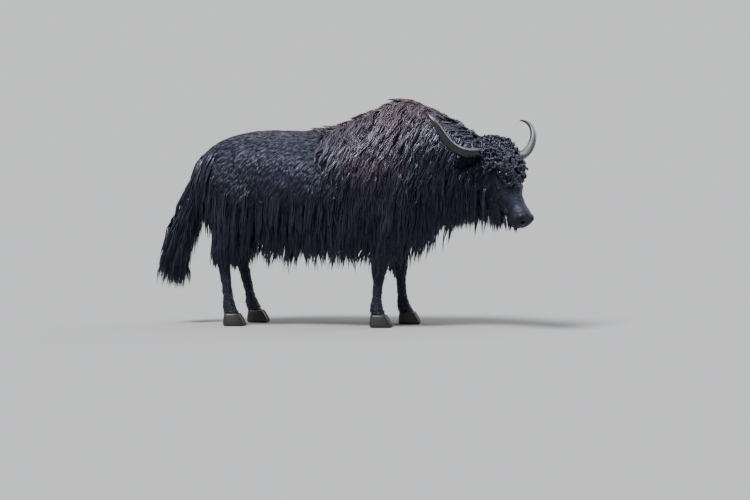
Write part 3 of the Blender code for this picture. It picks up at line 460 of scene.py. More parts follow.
def swept(name, path, radii, sides, outward=(0, 0, 1)):
    """A tube along a path, with outward the side that its first corner turns from."""
    path, face, rings = [Vector(p) for p in path], Vector(outward), []
    for k, at in enumerate(path):
        along = (path[min(k + 1, len(path) - 1)] - path[max(k - 1, 0)]).normalized()
        across = along.cross(face).normalized()
        face = across.cross(along).normalized()
        rings.append([at + across * math.cos(2 * math.pi * i / sides) * radii[k]
                      + face * math.sin(2 * math.pi * i / sides) * radii[k] for i in range(sides)])
    return loft(name, rings)


def apply_modifiers(thing):
    graph = bpy.context.evaluated_depsgraph_get()
    mesh = bpy.data.meshes.new_from_object(thing.evaluated_get(graph))
    thing.modifiers.clear()
    thing.data = mesh


def joined(name, pieces):
    """One object of several, which are used up."""
    made = placed(name, settled(shape_of(*pieces), bpy.data.meshes.new(name)))
    for piece in pieces:
        bpy.data.objects.remove(piece, do_unlink=True)
    return made


def melted(name, pieces, voxel, smoothing):
    made = joined(name, pieces)
    remesh = made.modifiers.new("melt", "REMESH")
    remesh.mode, remesh.voxel_size = "VOXEL", voxel
    soften = made.modifiers.new("soften", "SMOOTH")
    soften.factor, soften.iterations = 0.5, smoothing
    apply_modifiers(made)
    return made


def points_of(thing, what="co"):
    out = np.empty(len(thing.data.vertices) * 3)
    thing.data.vertices.foreach_get(what, out)
    return out.reshape(-1, 3)


def put_points(thing, points):
    thing.data.vertices.foreach_set("co", np.asarray(points, np.float32).ravel())
    thing.data.update()


def sink(thing, depth):
    """Presses a surface in by a depth at each point."""
    put_points(thing, points_of(thing) - points_of(thing, "normal") * depth[:, None])


def ramp(values, low, high):
    """0 below low, 1 above high, smooth between; low may lie above high."""
    t = np.clip((values - low) / (high - low), 0, 1)
    return t * t * (3 - 2 * t)


# How far the hide lies under the outline of the solids, which is the coat's outside: deep under the
# mane of hump and neck, shallow on the flank and rump, a few millimetres on the legs.
FLANK_DEPTH, MANE_DEPTH, LEG_DEPTH, HEAD_DEPTH, POLL_DEPTH = 0.010, 0.016, 0.006, 0.006, 0.016

body = melted("body", [trunk()] + [leg(name) for name in FEET], BODY_VOXEL, 8)
x, _, height = points_of(body).T
mane = ramp(x, -0.28, 0.06) * ramp(height, 0.62, 0.95)
legs = 1 - ramp(height, 0.40, 0.62)
sink(body, (FLANK_DEPTH + (MANE_DEPTH - FLANK_DEPTH) * mane) * (1 - legs) + LEG_DEPTH * legs)


# Head under the fur: a long wedge with brow ridges over the eyes, flat cheeks, the wings of the
# nostrils and full lips. Its own axes start between the horn bases: x to the yak's right, y along
# the face to the muzzle, z out of the forehead.

HEAD_AT = Vector((0.935, -0.250, 1.082))
HEAD_TURN, HEAD_DROP, HEAD_TILT = math.radians(42), math.radians(52.5), math.radians(3.5)
EYE_RADIUS = 0.025
EYE_AT = (0.089, 0.186, 0.010)
EYE_TURN, EYE_SWING = 1.06, 0.12      # how far the eye looks out to the side, and forward
HEAD_SECTIONS = (
    # along the face, top, bottom, half width, widest level as a share, top pinch
    (-0.115, 0.010, -0.170, 0.080, 0.60, 1.0),
    (-0.060, 0.062, -0.205, 0.112, 0.68, 0.85),
    (0.015, 0.078, -0.228, 0.122, 0.70, 0.75),
    (0.095, 0.070, -0.240, 0.118, 0.72, 0.75),
    (0.170, 0.050, -0.240, 0.108, 0.72, 0.75),
    (0.240, 0.030, -0.214, 0.087, 0.68, 0.8),
    (0.315, 0.009, -0.182, 0.068, 0.60, 0.9),
    (0.382, -0.002, -0.154, 0.061, 0.54, 0.9),
    (0.437, -0.005, -0.140, 0.066, 0.50, 0.8),
    (0.474, -0.013, -0.128, 0.064, 0.50, 0.8),
    (0.495, -0.030, -0.110, 0.049, 0.5, 0.9),
    (0.502, -0.050, -0.090, 0.024, 0.5, 1.0),
)
FLESH_ON_EACH_SIDE = (
    # name, middle, half sizes, turns
    ("brow", (0.074, 0.158, 0.044), (0.036, 0.052, 0.017), (0, 0.6, 0.1)),
    ("orbit", (0.083, 0.186, 0.008), (0.034, 0.045, 0.035), (0, 0, 0)),
    ("tear trough", (0.070, 0.244, -0.026), (0.012, 0.050, 0.016), (0.2, 0, 0.2)),
    ("cheek", (0.070, 0.115, -0.130), (0.040, 0.110, 0.085), (0.25, 0, 0)),
    ("nostril wing", (0.034, 0.464, -0.040), (0.031, 0.034, 0.026), (0, 0, 0)),
    ("lip corner", (0.052, 0.374, -0.108), (0.014, 0.026, 0.020), (0, 0, 0.2)),
)
HOLLOWS_ON_EACH_SIDE = (
    ("nostril", (0.036, 0.487, -0.052), (0.0125, 0.023, 0.0135), (0.3, 0.4, 0.6)),
    ("comma", (0.048, 0.481, -0.061), (0.0055, 0.020, 0.0065), (0.2, 0.6, 0.7)),
)
FACE_FOLDS = (
    # which two of (across, along, up) the fold is drawn in, width, depth (less than 0 is a ridge), its points
    ((1, 2), 0.005, 0.0034, ((0.156, 0.014), (0.170, 0.033), (0.192, 0.038), (0.214, 0.024))),
    ((1, 2), 0.007, 0.0030, ((0.146, 0.030), (0.168, 0.054), (0.200, 0.054), (0.222, 0.040))),
    ((1, 2), 0.006, 0.0034, ((0.160, -0.010), (0.186, -0.024), (0.214, -0.018), (0.240, -0.008))),
    ((1, 2), 0.007, 0.0024, ((0.158, -0.028), (0.190, -0.042), (0.228, -0.036))),
    ((1, 2), 0.013, 0.0070, ((0.206, -0.062), (0.216, -0.100), (0.196, -0.150))),
    ((1, 2), 0.013, -0.0050, ((0.215, -0.046), (0.262, -0.056), (0.312, -0.066))),
    ((1, 2), 0.006, 0.0036, ((0.350, -0.080), (0.358, -0.102), (0.350, -0.126))),
    ((1, 2), 0.006, 0.0024, ((0.333, -0.086), (0.341, -0.106), (0.334, -0.124))),
    ((1, 2), 0.006, 0.0040, ((0.446, -0.020), (0.434, -0.040), (0.440, -0.066))),
    ((1, 2), 0.006, 0.0024, ((0.428, -0.022), (0.418, -0.040), (0.423, -0.060))),
    ((0, 2), 0.005, 0.0048, ((0.0, -0.036), (0.0, -0.098))),
    ((0, 1), 0.010, 0.0040, ((0.030, 0.120), (0.040, 0.240), (0.030, 0.330))),
)
NECK_FROM, POLL_CUT = 0.52, -0.15     # where the neck of the head's mesh starts, and where it is cut off
LIE = np.array(((-0.5, 0, -0.866), (0.866, 0, -0.5), (0, 1, 0))).T      # down and back over the flank
GRAIN = (24, 190, 190)              # streaks of the short fur per metre, along its lie and across it

ahead = Vector((math.cos(HEAD_TURN), -math.sin(HEAD_TURN), 0))
leftward = Vector((math.sin(HEAD_TURN), math.cos(HEAD_TURN), 0))
face_axis = ahead * math.cos(HEAD_DROP) - Vector((0, 0, math.sin(HEAD_DROP)))
crown_axis = ahead * math.sin(HEAD_DROP) + Vector((0, 0, math.cos(HEAD_DROP)))
right_axis = -(leftward * math.cos(HEAD_TILT) - crown_axis * math.sin(HEAD_TILT))
crown_axis = leftward * math.sin(HEAD_TILT) + crown_axis * math.cos(HEAD_TILT)
HEAD = Matrix.Translation(HEAD_AT) @ Matrix((right_axis, face_axis, crown_axis)).transposed().to_4x4()
HEAD_TURNED = HEAD.to_3x3()
DOWN = np.array((0.0, 0.0, -1.0))
TO_NOSE = np.array(HEAD_TURNED @ Vector((0, 1, 0)))
CROWN = HEAD_TURNED @ Vector((0, 0, 1))


def in_head(points):
    """Points of the body's axes in the head's own."""
    back = np.array(HEAD.inverted())
    return points @ back[:3, :3].T + back[:3, 3]


def on_side(side, point):
    return Vector((side * point[0], point[1], point[2]))


def gaze(side):
    """The way an eye looks, in the head's axes."""
    turned = Matrix.Rotation(side * EYE_SWING, 3, "Z") @ Matrix.Rotation(side * EYE_TURN, 3, "Y")
    return turned @ Vector((0, 0, 1))


def balls(side, rows):
    return [ball(name, on_side(side, middle), radii, (turns[0], side * turns[1], side * turns[2]))
            for name, middle, radii, turns in rows]


rings = []
for along, top, bottom, half_width, widest, pinch in smooth_through(HEAD_SECTIONS, HEAD_RINGS):
    middle = bottom + widest * (top - bottom)
    rings.append([(across, along, middle + up)
                  for across, up in oval(half_width, top - middle, middle - bottom, BODY_SIDES, pinch,
                                         JAW_PINCH)])
flesh = [loft("skull", rings), *balls(-1, FLESH_ON_EACH_SIDE), *balls(1, FLESH_ON_EACH_SIDE),
         ball("upper lip", (0, 0.440, -0.067), (0.070, 0.053, 0.040)),
         ball("lower lip", (0, 0.434, -0.120), (0.050, 0.050, 0.030), (-0.12, 0, 0))]
for part in flesh:
    part.data.transform(HEAD)
head = melted("head", [trunk(NECK_FROM), *flesh], HEAD_VOXEL, 6)

# The part of the neck that the body has already is cut off behind the poll.
shape = shape_of(head)
bmesh.ops.bisect_plane(shape, geom=shape.verts[:] + shape.edges[:] + shape.faces[:], clear_outer=True,
                       plane_co=HEAD @ Vector((0, POLL_CUT, 0)), plane_no=HEAD_TURNED @ Vector((0, -1, 0)))
bmesh.ops.contextual_create(shape, geom=[e for e in shape.edges if e.is_boundary])
settled(shape, head.data)
along = in_head(points_of(head))[:, 1]
deep = HEAD_DEPTH + (POLL_DEPTH - HEAD_DEPTH) * (1 - ramp(along, 0.02, 0.24))
sink(head, deep * (1 - 0.75 * ramp(along, 0.38, 0.46)))


def fold_depth(local, normals):
    """How deep the folds of the face press in; each is drawn on one side and holds for both."""
    ways = np.stack([np.abs(local[:, 0]), local[:, 1], local[:, 2]], axis=1)
    press = np.zeros(len(local))
    for plane, width, depth, course in FACE_FOLDS:
        # A fold counts where the skin faces the plane that it is drawn in.
        looks = normals @ np.array(HEAD_TURNED)[:, 3 - plane[0] - plane[1]]
        if plane == (1, 2):
            looks = looks * np.sign(local[:, 0])
        away = np.full(len(local), 1.0)
        for start, end in zip(course, course[1:]):
            start, step = np.array(start), np.subtract(end, start)
            share = np.clip((ways[:, plane] - start) @ step / (step @ step), 0, 1)
            away = np.minimum(away, np.linalg.norm(ways[:, plane] - start - share[:, None] * step, axis=1))
        press += depth * np.exp(-(away / width) ** 2) * ramp(looks, 0.05, 0.35)
    return press


sink(head, fold_depth(in_head(points_of(head)), points_of(head, "normal")))


def tree_of(thing):
    return BVHTree.FromPolygons([v.co.copy() for v in thing.data.vertices],
                                [tuple(f.vertices) for f in thing.data.polygons])


# Eye sockets, nostrils and the line of the mouth, which follows the lips.
EYE_ROOM, EYE_OPENING = 0.0006, (0.0135, 0.0235, 0.034)
LIP_POINTS, LIP_GAP, LIP_END, MOUTH_ARC = 31, 0.0042, 0.002, 1.22
MOUTH_ALONG, MOUTH_UP, CORNER_DROP = 0.402, -0.102, 0.010
OUTSIDE = 1.2                       # a distance beyond the head, to look back at it from
cutters = []
for side in (-1, 1):
    middle = on_side(side, EYE_AT)
    cutters += [*balls(side, HOLLOWS_ON_EACH_SIDE), ball("eye room", middle, (EYE_RADIUS + EYE_ROOM,) * 3),
                ball("opening", middle + gaze(side) * EYE_OPENING[2], EYE_OPENING,
                     (0, side * EYE_TURN, side * EYE_SWING))]
for cutter in cutters:
    cutter.data.transform(HEAD)
head_tree = tree_of(head)
lip_line = []
for k in range(LIP_POINTS):
    turn = math.pi * (k / (LIP_POINTS - 1) - 0.5) * MOUTH_ARC
    look = (HEAD_TURNED @ Vector((math.sin(turn), math.cos(turn), 0))).normalized()
    inside = HEAD @ Vector((0, MOUTH_ALONG, MOUTH_UP - CORNER_DROP * math.sin(turn) ** 2))
    lip_line.append(head_tree.ray_cast(inside + look * OUTSIDE, -look)[0])
lip_radii = [LIP_END] + [LIP_GAP] * (LIP_POINTS - 2) + [LIP_END]
cutters.append(swept("mouth", lip_line, lip_radii, 8, CROWN))
group = bpy.data.collections.new("cutters")
bpy.context.scene.collection.children.link(group)
for cutter in cutters:
    bpy.context.scene.collection.objects.unlink(cutter)
    group.objects.link(cutter)
step = head.modifiers.new("cut", "BOOLEAN")
step.operation, step.operand_type, step.solver = "DIFFERENCE", "COLLECTION", "MANIFOLD"
step.collection = group
apply_modifiers(head)
in_order(head)
for cutter in cutters:
    bpy.data.objects.remove(cutter, do_unlink=True)
bpy.data.collections.remove(group)


def mark(thing, name, values):
    """Writes a number or a vector for each point of a mesh."""
    values = np.asarray(values, np.float32)
    kind, what = ("FLOAT", "value") if values.ndim == 1 else ("FLOAT_VECTOR", "vector")
    thing.data.attributes.new(name, kind, "POINT").data.foreach_set(what, values.ravel())


def add_grain(thing):
    """Where each point lies along the fur's lie and across it: down the face, down and back elsewhere."""
    local = in_head(points_of(thing))
    on_head = (local[:, 1] > -0.06) & (np.abs(local[:, 0]) < 0.17) & (local[:, 2] > -0.26)
    mark(thing, "grain", np.where(on_head[:, None], local[:, (1, 0, 2)], points_of(thing) @ LIE) * GRAIN)


def settle(piece, slot, finish, *stands_for):
    """A finished piece moves to where the yak stands, rides with the body and stands for its solids."""
    piece.data.materials.clear()
    piece.data.materials.append(finish)
    piece.data.transform(Matrix.Translation(STAND))
    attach(piece, "root")
    if stands_for:
        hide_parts(*stands_for)


skin = placed("skin", settled(shape_of(body, head), bpy.data.meshes.new("skin")))
smooth(skin)
_, along, up = in_head(points_of(skin)).T
mark(skin, "bare", ramp(along, 0.452, 0.474) * ramp(up, -0.104, -0.092) * (1 - ramp(up, -0.020, -0.010)))
add_grain(skin)
settle(skin, "coat", hide_paint, "head", "neck", "torso",
       "foreleg_left", "foreleg_right", "hindleg_left", "hindleg_right")


# Coat. Every tuft is a thin tapering blade of hair with a keel along its back. Tufts that grow
# together from one spot make a lock, which is first drawn as a single line draped over the body.

GUIDE_POINTS = 8
MOST_TRIANGLES = 196000             # in one piece of the coat
ROOT_DEPTH = 0.003                  # how deep the tufts are rooted in the hide
REACH_OF_HIDE = 0.16                # a lock farther off than this hangs free
PATCH_WIDTH, PATCH_LENGTH, PATCH_SPREAD = 0.0012, 0.0016, 0.0008       # in the bake's map
STRANDS_MOVE = (97, 0.37)           # with a blade's tone, and from blade to blade


def hide_of(thing):
    """The points and triangles that tufts grow on."""
    thing.data.calc_loop_triangles()
    triangles = np.empty(len(thing.data.loop_triangles) * 3, np.int32)
    thing.data.loop_triangles.foreach_get("vertices", triangles)
    return points_of(thing), triangles.reshape(-1, 3)


def planted(hide, wanted, weight, seed, draw_seed=None):
    """Root points and normals spread at random over a hide, as thick as weight says at each place, and
    the draws for what grows there."""
    chance = np.random.default_rng(seed)
    a, b, c = (hide[0][hide[1][:, k]] for k in range(3))
    cross = np.cross(b - a, c - a)
    size = np.linalg.norm(cross, axis=1)
    outward = cross / np.maximum(size, 1e-12)[:, None]
    thick = size * weight((a + b + c) / 3, outward)
    which = chance.choice(len(a), wanted, p=thick / thick.sum())
    u, v = chance.random(wanted), chance.random(wanted)
    over = u + v > 1
    u[over], v[over] = 1 - u[over], 1 - v[over]
    spots = a[which] + u[:, None] * (b - a)[which] + v[:, None] * (c - a)[which]
    chance = np.random.default_rng(draw_seed or seed + 1)
    return spots, outward[which], chance, lambda low, high: chance.uniform(low, high, wanted)


def unit(vectors):
    return vectors / np.maximum(np.linalg.norm(vectors, axis=-1, keepdims=True), 1e-9)


def drape(tree, roots, normals, way, length, lift, pull, lowest=None):
    """A line of points for each lock: it leaves its root along way, bends to hang, and lies on the hide.

    lift is (stand-off at the root, stand-off at the tip), pull how strongly it turns to hang straight,
    lowest the height that no tip hangs below."""
    count, last = len(roots), GUIDE_POINTS - 1
    root_lift, tip_lift, pull = (np.broadcast_to(given, count) for given in (*lift, pull))
    way = unit(way - normals * np.sum(way * normals, 1, keepdims=True) * 0.9)
    line, facing = np.empty((2, count, GUIDE_POINTS, 3))
    line[:, 0] = roots - normals * ROOT_DEPTH
    facing[:, 0] = normals
    here = roots + normals * 0.001
    for k in range(1, GUIDE_POINTS):
        share = k / last
        way = unit(way + DOWN * (pull * (0.35 + share))[:, None] * 0.5)
        here = here + way * (length / last)[:, None]
        room = root_lift + (tip_lift - root_lift) * share
        now = facing[:, k - 1].copy()
        for i in range(count):
            touched, outward, _, away = tree.find_nearest(here[i])
            if away < REACH_OF_HIDE:
                inside = (here[i, 0] - touched.x) * outward.x + (here[i, 1] - touched.y) * outward.y \
                    + (here[i, 2] - touched.z) * outward.z
                if inside < room[i]:
                    here[i] = (touched.x + outward.x * room[i], touched.y + outward.y * room[i],
                               touched.z + outward.z * room[i])
                    now[i] = outward
        facing[:, k] = unit(facing[:, k - 1] * 0.5 + now)
        way = unit(here - line[:, k - 1] if k > 1 else way)
        line[:, k] = here
    if lowest is not None:
        # A lock that would hang too low is drawn up along its own line.
        drop = np.maximum(roots[:, 2] - line[:, -1, 2], 1e-6)
        keep = np.clip((roots[:, 2] - lowest) / drop, 0.25, 1.0)
        for i in np.nonzero(keep < 0.999)[0]:
            at = np.linspace(0, 1, GUIDE_POINTS) * keep[i] * last
            low = np.minimum(at.astype(int), last - 1)
            part = (at - low)[:, None]
            line[i] = line[i, low] * (1 - part) + line[i, low + 1] * part
    return line, facing


def blades(name, points, pattern, patch, tone, reach_along):
    """One mesh of many blades alike in their faces, with a patch of the bake's map for each."""
    count, per = points.shape[:2]
    strand = np.empty((count, per, 3), np.float32)
    strand[..., 0] = np.append(np.tile((0.0, 0.5, 1.0), per // 3), 0.5)
    strand[..., 1] = reach_along * np.linalg.norm(points[:, -1] - points[:, 0], axis=1)[:, None]
    # The third place moves the strands on, so that no two blades show the same ones.
    strand[..., 2] = tone[:, None] * STRANDS_MOVE[0] + np.arange(count)[:, None] * STRANDS_MOVE[1]
    faces = (pattern[None] + (np.arange(count) * per)[:, None, None]).reshape(-1, 3)
    mesh = bpy.data.meshes.new(name)
    mesh.vertices.add(count * per)
    mesh.vertices.foreach_set("co", points.astype(np.float32).ravel())
    mesh.loops.add(len(faces) * 3)
    mesh.loops.foreach_set("vertex_index", faces.astype(np.int32).ravel())
    mesh.polygons.add(len(faces))
    mesh.polygons.foreach_set("loop_start", np.arange(0, len(faces) * 3, 3, dtype=np.int32))
    piece = placed(name, mesh)
    smooth(piece)
    mesh.update(calc_edges=True)
    bake = mesh.uv_layers.new(name="OFBake")
    bake.data.foreach_set("uv", patch.reshape(-1, 2)[faces.ravel()].astype(np.float32).ravel())
    mark(piece, "strand", strand.reshape(-1, 3))
    mark(piece, "shade", np.repeat(tone, per))
    mark(piece, "along", np.tile(reach_along, count))
    return piece


def blade_faces(rings):
    """The triangles of one blade: three corners to a ring, a point at the tip, and a cap at the root."""
    faces = []
    for k in range(rings - 1):
        for i in range(3):
            j = (i + 1) % 3
            a, b, c, d = 3 * k + i, 3 * k + j, 3 * k + 3 + j, 3 * k + 3 + i
            faces += [(a, b, c), (a, c, d)]
    last = 3 * (rings - 1)
    return np.array(faces + [(last + i, last + (i + 1) % 3, 3 * rings) for i in range(3)] + [(2, 1, 0)])


def axes_of(lines, normal):
    """The directions across each line of points, and out from the hide."""
    along = unit(np.gradient(lines, axis=1))
    across = unit(np.cross(along, normal))
    return across, np.cross(across, along)


def tufts(name, guides, unwrap, finish, seed, each, radius, width, rings, slot="coat", wave=0.0,
          wave_length=0.1, frizz=0.0, thickness=0.30, tip_radius=0.22, flatness=0.45, ragged=0.18, roll=0.45,
          mottle=1.0):
    """Turns locks into pieces of mesh, each lock a bunch of tufts that draws together at its tip."""
    chance = np.random.default_rng(seed)
    line, facing = guides
    locks, last = len(line), GUIDE_POINTS - 1
    length = np.sum(np.linalg.norm(np.diff(line, axis=1), axis=2), axis=1)
    lock = np.repeat(np.arange(locks), each)
    count = len(lock)

    # Each tuft keeps its own place in the lock, and runs along the lock's line.
    turn, reach = chance.random(count) * 2 * np.pi, np.sqrt(chance.random(count))
    aside, above = np.cos(turn) * reach * radius, np.sin(turn) * reach * radius * flatness
    short = 1 - ragged * chance.random(count) - 0.10 * reach
    share = np.linspace(0, 1, rings + 1)[None, :] * short[:, None]
    at = np.clip(share * last, 0, last - 1e-6)
    low = at.astype(int)
    part = (at - low)[..., None]
    middle = smooth_bend(*(line[lock[:, None], np.clip(low + k, 0, last)] for k in (-1, 0, 1, 2)), part)
    normal = unit(facing[lock[:, None], low] * (1 - part) + facing[lock[:, None], low + 1] * part)

    across, out = axes_of(middle, normal)
    gather = (1 - (1 - tip_radius) * ramp(share, 0.15, 1.0))[..., None]
    risen = ramp(share, 0.0, 0.28)[..., None]
    middle = middle + across * aside[:, None, None] * gather
    middle = middle + out * (above[:, None, None] * gather + ROOT_DEPTH) * risen - out * ROOT_DEPTH
    if wave or frizz:
        phase = (chance.random(locks) * 2 * np.pi)[lock] + chance.normal(0, 0.35, count)
        pitch = (wave_length * chance.uniform(0.8, 1.25, locks))[lock]
        swing = 2 * np.pi * share * length[lock][:, None] / pitch[:, None] + phase[:, None]
        grow = ramp(share, 0.02, 0.35) * (wave * chance.uniform(0.6, 1.3, locks)[lock])[:, None]
        middle = middle + across * (np.sin(swing) * grow)[..., None]
        middle = middle + out * (np.cos(swing) * grow * 0.45)[..., None]
        stray = chance.normal(0, 1, (count, rings + 1, 3))
        middle = middle + stray * (frizz * ramp(share, 0.1, 0.9))[..., None]
    across, out = axes_of(middle, out)
    lean = chance.normal(0, roll, count)[:, None, None]
    across, out = across * np.cos(lean) + out * np.sin(lean), out * np.cos(lean) - across * np.sin(lean)

    # The blade is widest a little before its middle, and runs out to a point.
    body_share = share[:, :-1] / short[:, None]
    thin = np.where(body_share < 0.4, 0.35 + 1.65 * body_share, 1.0 - (body_share - 0.4) * 1.1)
    half = (width * chance.uniform(0.7, 1.3, count))[:, None, None] * thin[..., None] / 2
    spine, edge, keel = middle[:, :-1], across[:, :-1] * half, out[:, :-1] * half * 2 * thickness
    corners = np.stack([spine + edge, spine + keel, spine - edge], axis=2)
    points = np.concatenate([corners.reshape(count, 3 * rings, 3), middle[:, -1:]], axis=1)

    home = unwrap(line[:, 0])[lock] + chance.uniform(-PATCH_SPREAD, PATCH_SPREAD, (count, 2))
    flat_u = np.append(np.tile((-0.5, 0, 0.5), rings), 0) * PATCH_WIDTH
    flat_v = np.append(np.repeat(np.arange(rings), 3), rings) / rings * PATCH_LENGTH
    patch = home[:, None, :] + np.stack([flat_u, flat_v], axis=1)[None]
    uneven = chance.normal(0, 0.16, locks)[lock] + chance.normal(0, 0.14, count)
    tone = np.clip(0.42 + mottle * uneven, 0, 1)
    reach_along = np.append(np.repeat(np.arange(rings) / rings, 3), 1.0)
    faces = blade_faces(rings)
    most = MOST_TRIANGLES // len(faces)
    order = np.argsort(line[lock, 0, 0], kind="stable")
    for start in range(0, count, most):
        chosen = order[start:start + most]
        settle(blades("%s_%d" % (name, start // most + 1), points[chosen], faces, patch[chosen], tone[chosen],
                      reach_along), slot, finish)


def stacked(*columns):
    return np.stack(np.broadcast_arrays(*columns), axis=1)


def in_map(u, v, margin=0.02):
    """Places on the bake's map, off its edges."""
    return stacked(u, v) * (1 - 2 * margin) + margin


def round_body(points):
    """Unwrap of the trunk: its length one way, the angle round its middle the other."""
    angle = np.arctan2(points[:, 1], points[:, 2] - 0.86) / (2 * np.pi) + 0.5
    return in_map((points[:, 0] + 1.0) / 2.0, angle)


def noise_on(points, seed, scale):
    """Smooth ups and downs from -1 to 1 over the body, from a few crossed waves."""
    chance = np.random.default_rng(seed)
    out = np.zeros(len(points))
    for _ in range(5):
        out += np.sin(points @ (chance.normal(0, 1, 3) / scale) + chance.uniform(0, 6.3))
    return out / 2.6


body_tree, head_tree = tree_of(body), tree_of(head)
body_hide, head_hide = hide_of(body), hide_of(head)
for used in (body, head):
    bpy.data.objects.remove(used, do_unlink=True)
long_hair = hair_finish("long hair", 0.33, gloss=0.8)
short_hair = hair_finish("short hair", 0.44, gloss=0.8, contrast=0.6)


# Mane of the hump, withers and shoulder: long wavy locks that part along the ridge of the back and
# fall down each side in overlapping layers, brown on top where the weather bleaches them.

MANE_LOCKS = 1130


def mane_weight(at, outward):
    x, _, height = at.T
    rise = 0.45 * ramp(x, 0.0, -0.3)
    over_hump = ramp(x, -0.30, -0.12) * ramp(height, 0.84 + rise, 1.06 + rise)
    fuller = 0.65 + 0.35 * ramp(height, 1.0, 1.3) + 0.9 * ramp(x, 0.45, 0.62)
    return over_hump * (1 - ramp(x, 0.84, 0.88)) * fuller


spots, outward, chance, between = planted(body_hide, MANE_LOCKS, mane_weight, seed=101)
x = spots[:, 0]
side = np.where(spots[:, 1] - np.interp(x, (0.45, 0.86), (0.0, -0.19)) >= 0, 1.0, -1.0)
top = ramp(outward[:, 2], 0.2, 0.9)
neckward = ramp(x, 0.45, 0.7)
back = -0.35 - 0.25 * chance.random(MANE_LOCKS) + 0.15 * neckward
way = stacked(back, side * top * 1.1, -0.25 - 0.75 * (1 - top))
way += chance.normal(0, 0.12, way.shape)
length = between(0.20, 0.32) * (1 - 0.25 * neckward) * (1 - 0.45 * ramp(x, -0.02, -0.25))
lift = between(0.004, 0.022) + 0.006 * top, between(0.006, 0.034) * (1 - 0.4 * neckward)
guides = drape(body_tree, spots, outward, way, length, lift, pull=0.55)
tufts("coat_mane", guides, round_body, long_hair, slot="mane", seed=103, each=6, radius=0.019, width=0.0080,
      rings=7, wave=0.0085, wave_length=0.15, frizz=0.0008, mottle=1.3)


# Crest: the hair along the spine. It grows from the ridge of withers, hump and neck, stands up there
# and falls to both sides, so that it closes the parting of the mane.

CREST_LOCKS = 340
RIDGE = ((0.42, 0.47, 0.58, 0.68, 0.77, 0.85), (0.0, -0.01, -0.035, -0.075, -0.125, -0.185))       # x and y


def off_ridge(at):
    """How far to the yak's left of the ridge of neck and back each point lies."""
    return at[:, 1] - np.interp(at[:, 0], *RIDGE)


def crest_weight(at, outward):
    return ((1 - ramp(np.abs(off_ridge(at)), 0.035, 0.075)) * ramp(outward[:, 2], 0.4, 0.7)
            * ramp(at[:, 0], -0.24, -0.14) * (1 - ramp(at[:, 0], 0.84, 0.88)))


spots, outward, chance, between = planted(body_hide, CREST_LOCKS, crest_weight, seed=104)
x = spots[:, 0]
back, aside = (chance.normal(0, spread, CREST_LOCKS) for spread in (0.2, 0.22))
way = stacked(back - 0.80, aside + off_ridge(spots) * 8, 0.15 + 0.2 * chance.random(CREST_LOCKS))
withers = ramp(x, -0.20, -0.06) * (1 - ramp(x, 0.10, 0.26))
length = between(0.11, 0.17) * (0.7 + 0.3 * ramp(x, -0.2, 0.0))
lift = between(0.004, 0.012), between(0.010, 0.022) + 0.030 * withers * between(0.6, 1.0)
guides = drape(body_tree, spots, outward, way, length, lift, pull=0.12)
tufts("coat_crest", guides, round_body, long_hair, slot="mane", seed=106, each=7, radius=0.015, width=0.0080,
      rings=5, wave=0.005, wave_length=0.12, frizz=0.0008, mottle=1.2)


# Skirt: the long straight hair of the shoulder, belly, breast and thigh, which hides the knees and
# ends in a ragged hem.

SKIRT_LOCKS = 1420
HEM = 0.315


def skirt_weight(at, outward):
    x, y, height = at.T
    shoulder = 0.22 * ramp(x, 0.0, 0.12)
    band = ramp(height, 0.42, 0.50) * (1 - ramp(height, 0.70 + shoulder, 0.93 + shoulder))
    under = 1 - 0.85 * ramp(-outward[:, 2], 0.5, 0.9)
    inner_leg = 1 - ramp(0.10 - np.abs(y), 0.0, 0.03) * (1 - ramp(height, 0.50, 0.56))
    rear = ramp(-outward[:, 0], 0.3, 0.7) * (1 - ramp(x, -0.80, -0.70))
    rear = 0.8 * rear * ramp(height, 0.55, 0.62)
    return (band * under * inner_leg + rear) * (1 - ramp(x, 0.50, 0.60) * 0.8)


spots, outward, chance, between = planted(body_hide, SKIRT_LOCKS, skirt_weight, seed=111)
way = stacked(-0.16 + chance.normal(0, 0.07, SKIRT_LOCKS), np.sign(spots[:, 1]) * 0.10, -1)
length = between(0.26, 0.38)
lift = between(0.003, 0.012), between(0.004, 0.026)
hem = (HEM + 0.035 * noise_on(spots * (1, 1, 0), 113, 0.035) - 0.10 * ramp(spots[:, 0], 0.36, 0.46)
       + 0.10 * chance.random(SKIRT_LOCKS) ** 2)
guides = drape(body_tree, spots, outward, way, length, lift, pull=0.6, lowest=hem)
tufts("coat_skirt", guides, round_body, long_hair, seed=114, each=7, radius=0.020, width=0.0088, rings=5,
      wave=0.0045, wave_length=0.17, frizz=0.0009, ragged=0.22)


# Flank, back and rump: short sleek hair that lies close to the hide, back and down, so that ribs and
# hips show through it. It grows a little longer where it runs into the skirt.

SLEEK_TUFTS = 5000


def sleek_weight(at, outward):
    x, _, height = at.T
    return (1 - ramp(x, -0.10, 0.10)) * ramp(height, 0.68, 0.76) * (1 + 0.8 * ramp(height, 1.08, 1.2))


spots, outward, chance, between = planted(body_hide, SLEEK_TUFTS, sleek_weight, seed=121)
side = np.clip(spots[:, 1] / 0.12, -1, 1)
top = ramp(outward[:, 2], 0.3, 0.9)
low_down = 1 - ramp(spots[:, 2], 0.78, 1.0)
way = stacked(-0.50 - 0.35 * top + 0.10 * noise_on(spots, 124, 0.05) + chance.normal(0, 0.05, SLEEK_TUFTS),
             side * 0.45 * top, -0.85 * (1 - top) + chance.normal(0, 0.05, SLEEK_TUFTS))
length = between(0.070, 0.110) * (1 + 0.2 * top + 0.6 * low_down)
lift = between(0.0010, 0.003), between(0.0015, 0.0045) * (1 + top + low_down)
guides = drape(body_tree, spots, outward, way, length, lift, pull=0.15)
tufts("coat_sleek", guides, round_body, short_hair, seed=123, each=3, radius=0.012, width=0.0058, rings=2,
      frizz=0.0003, flatness=0.15, tip_radius=0.75, thickness=0.10, roll=0.10, mottle=0.40)


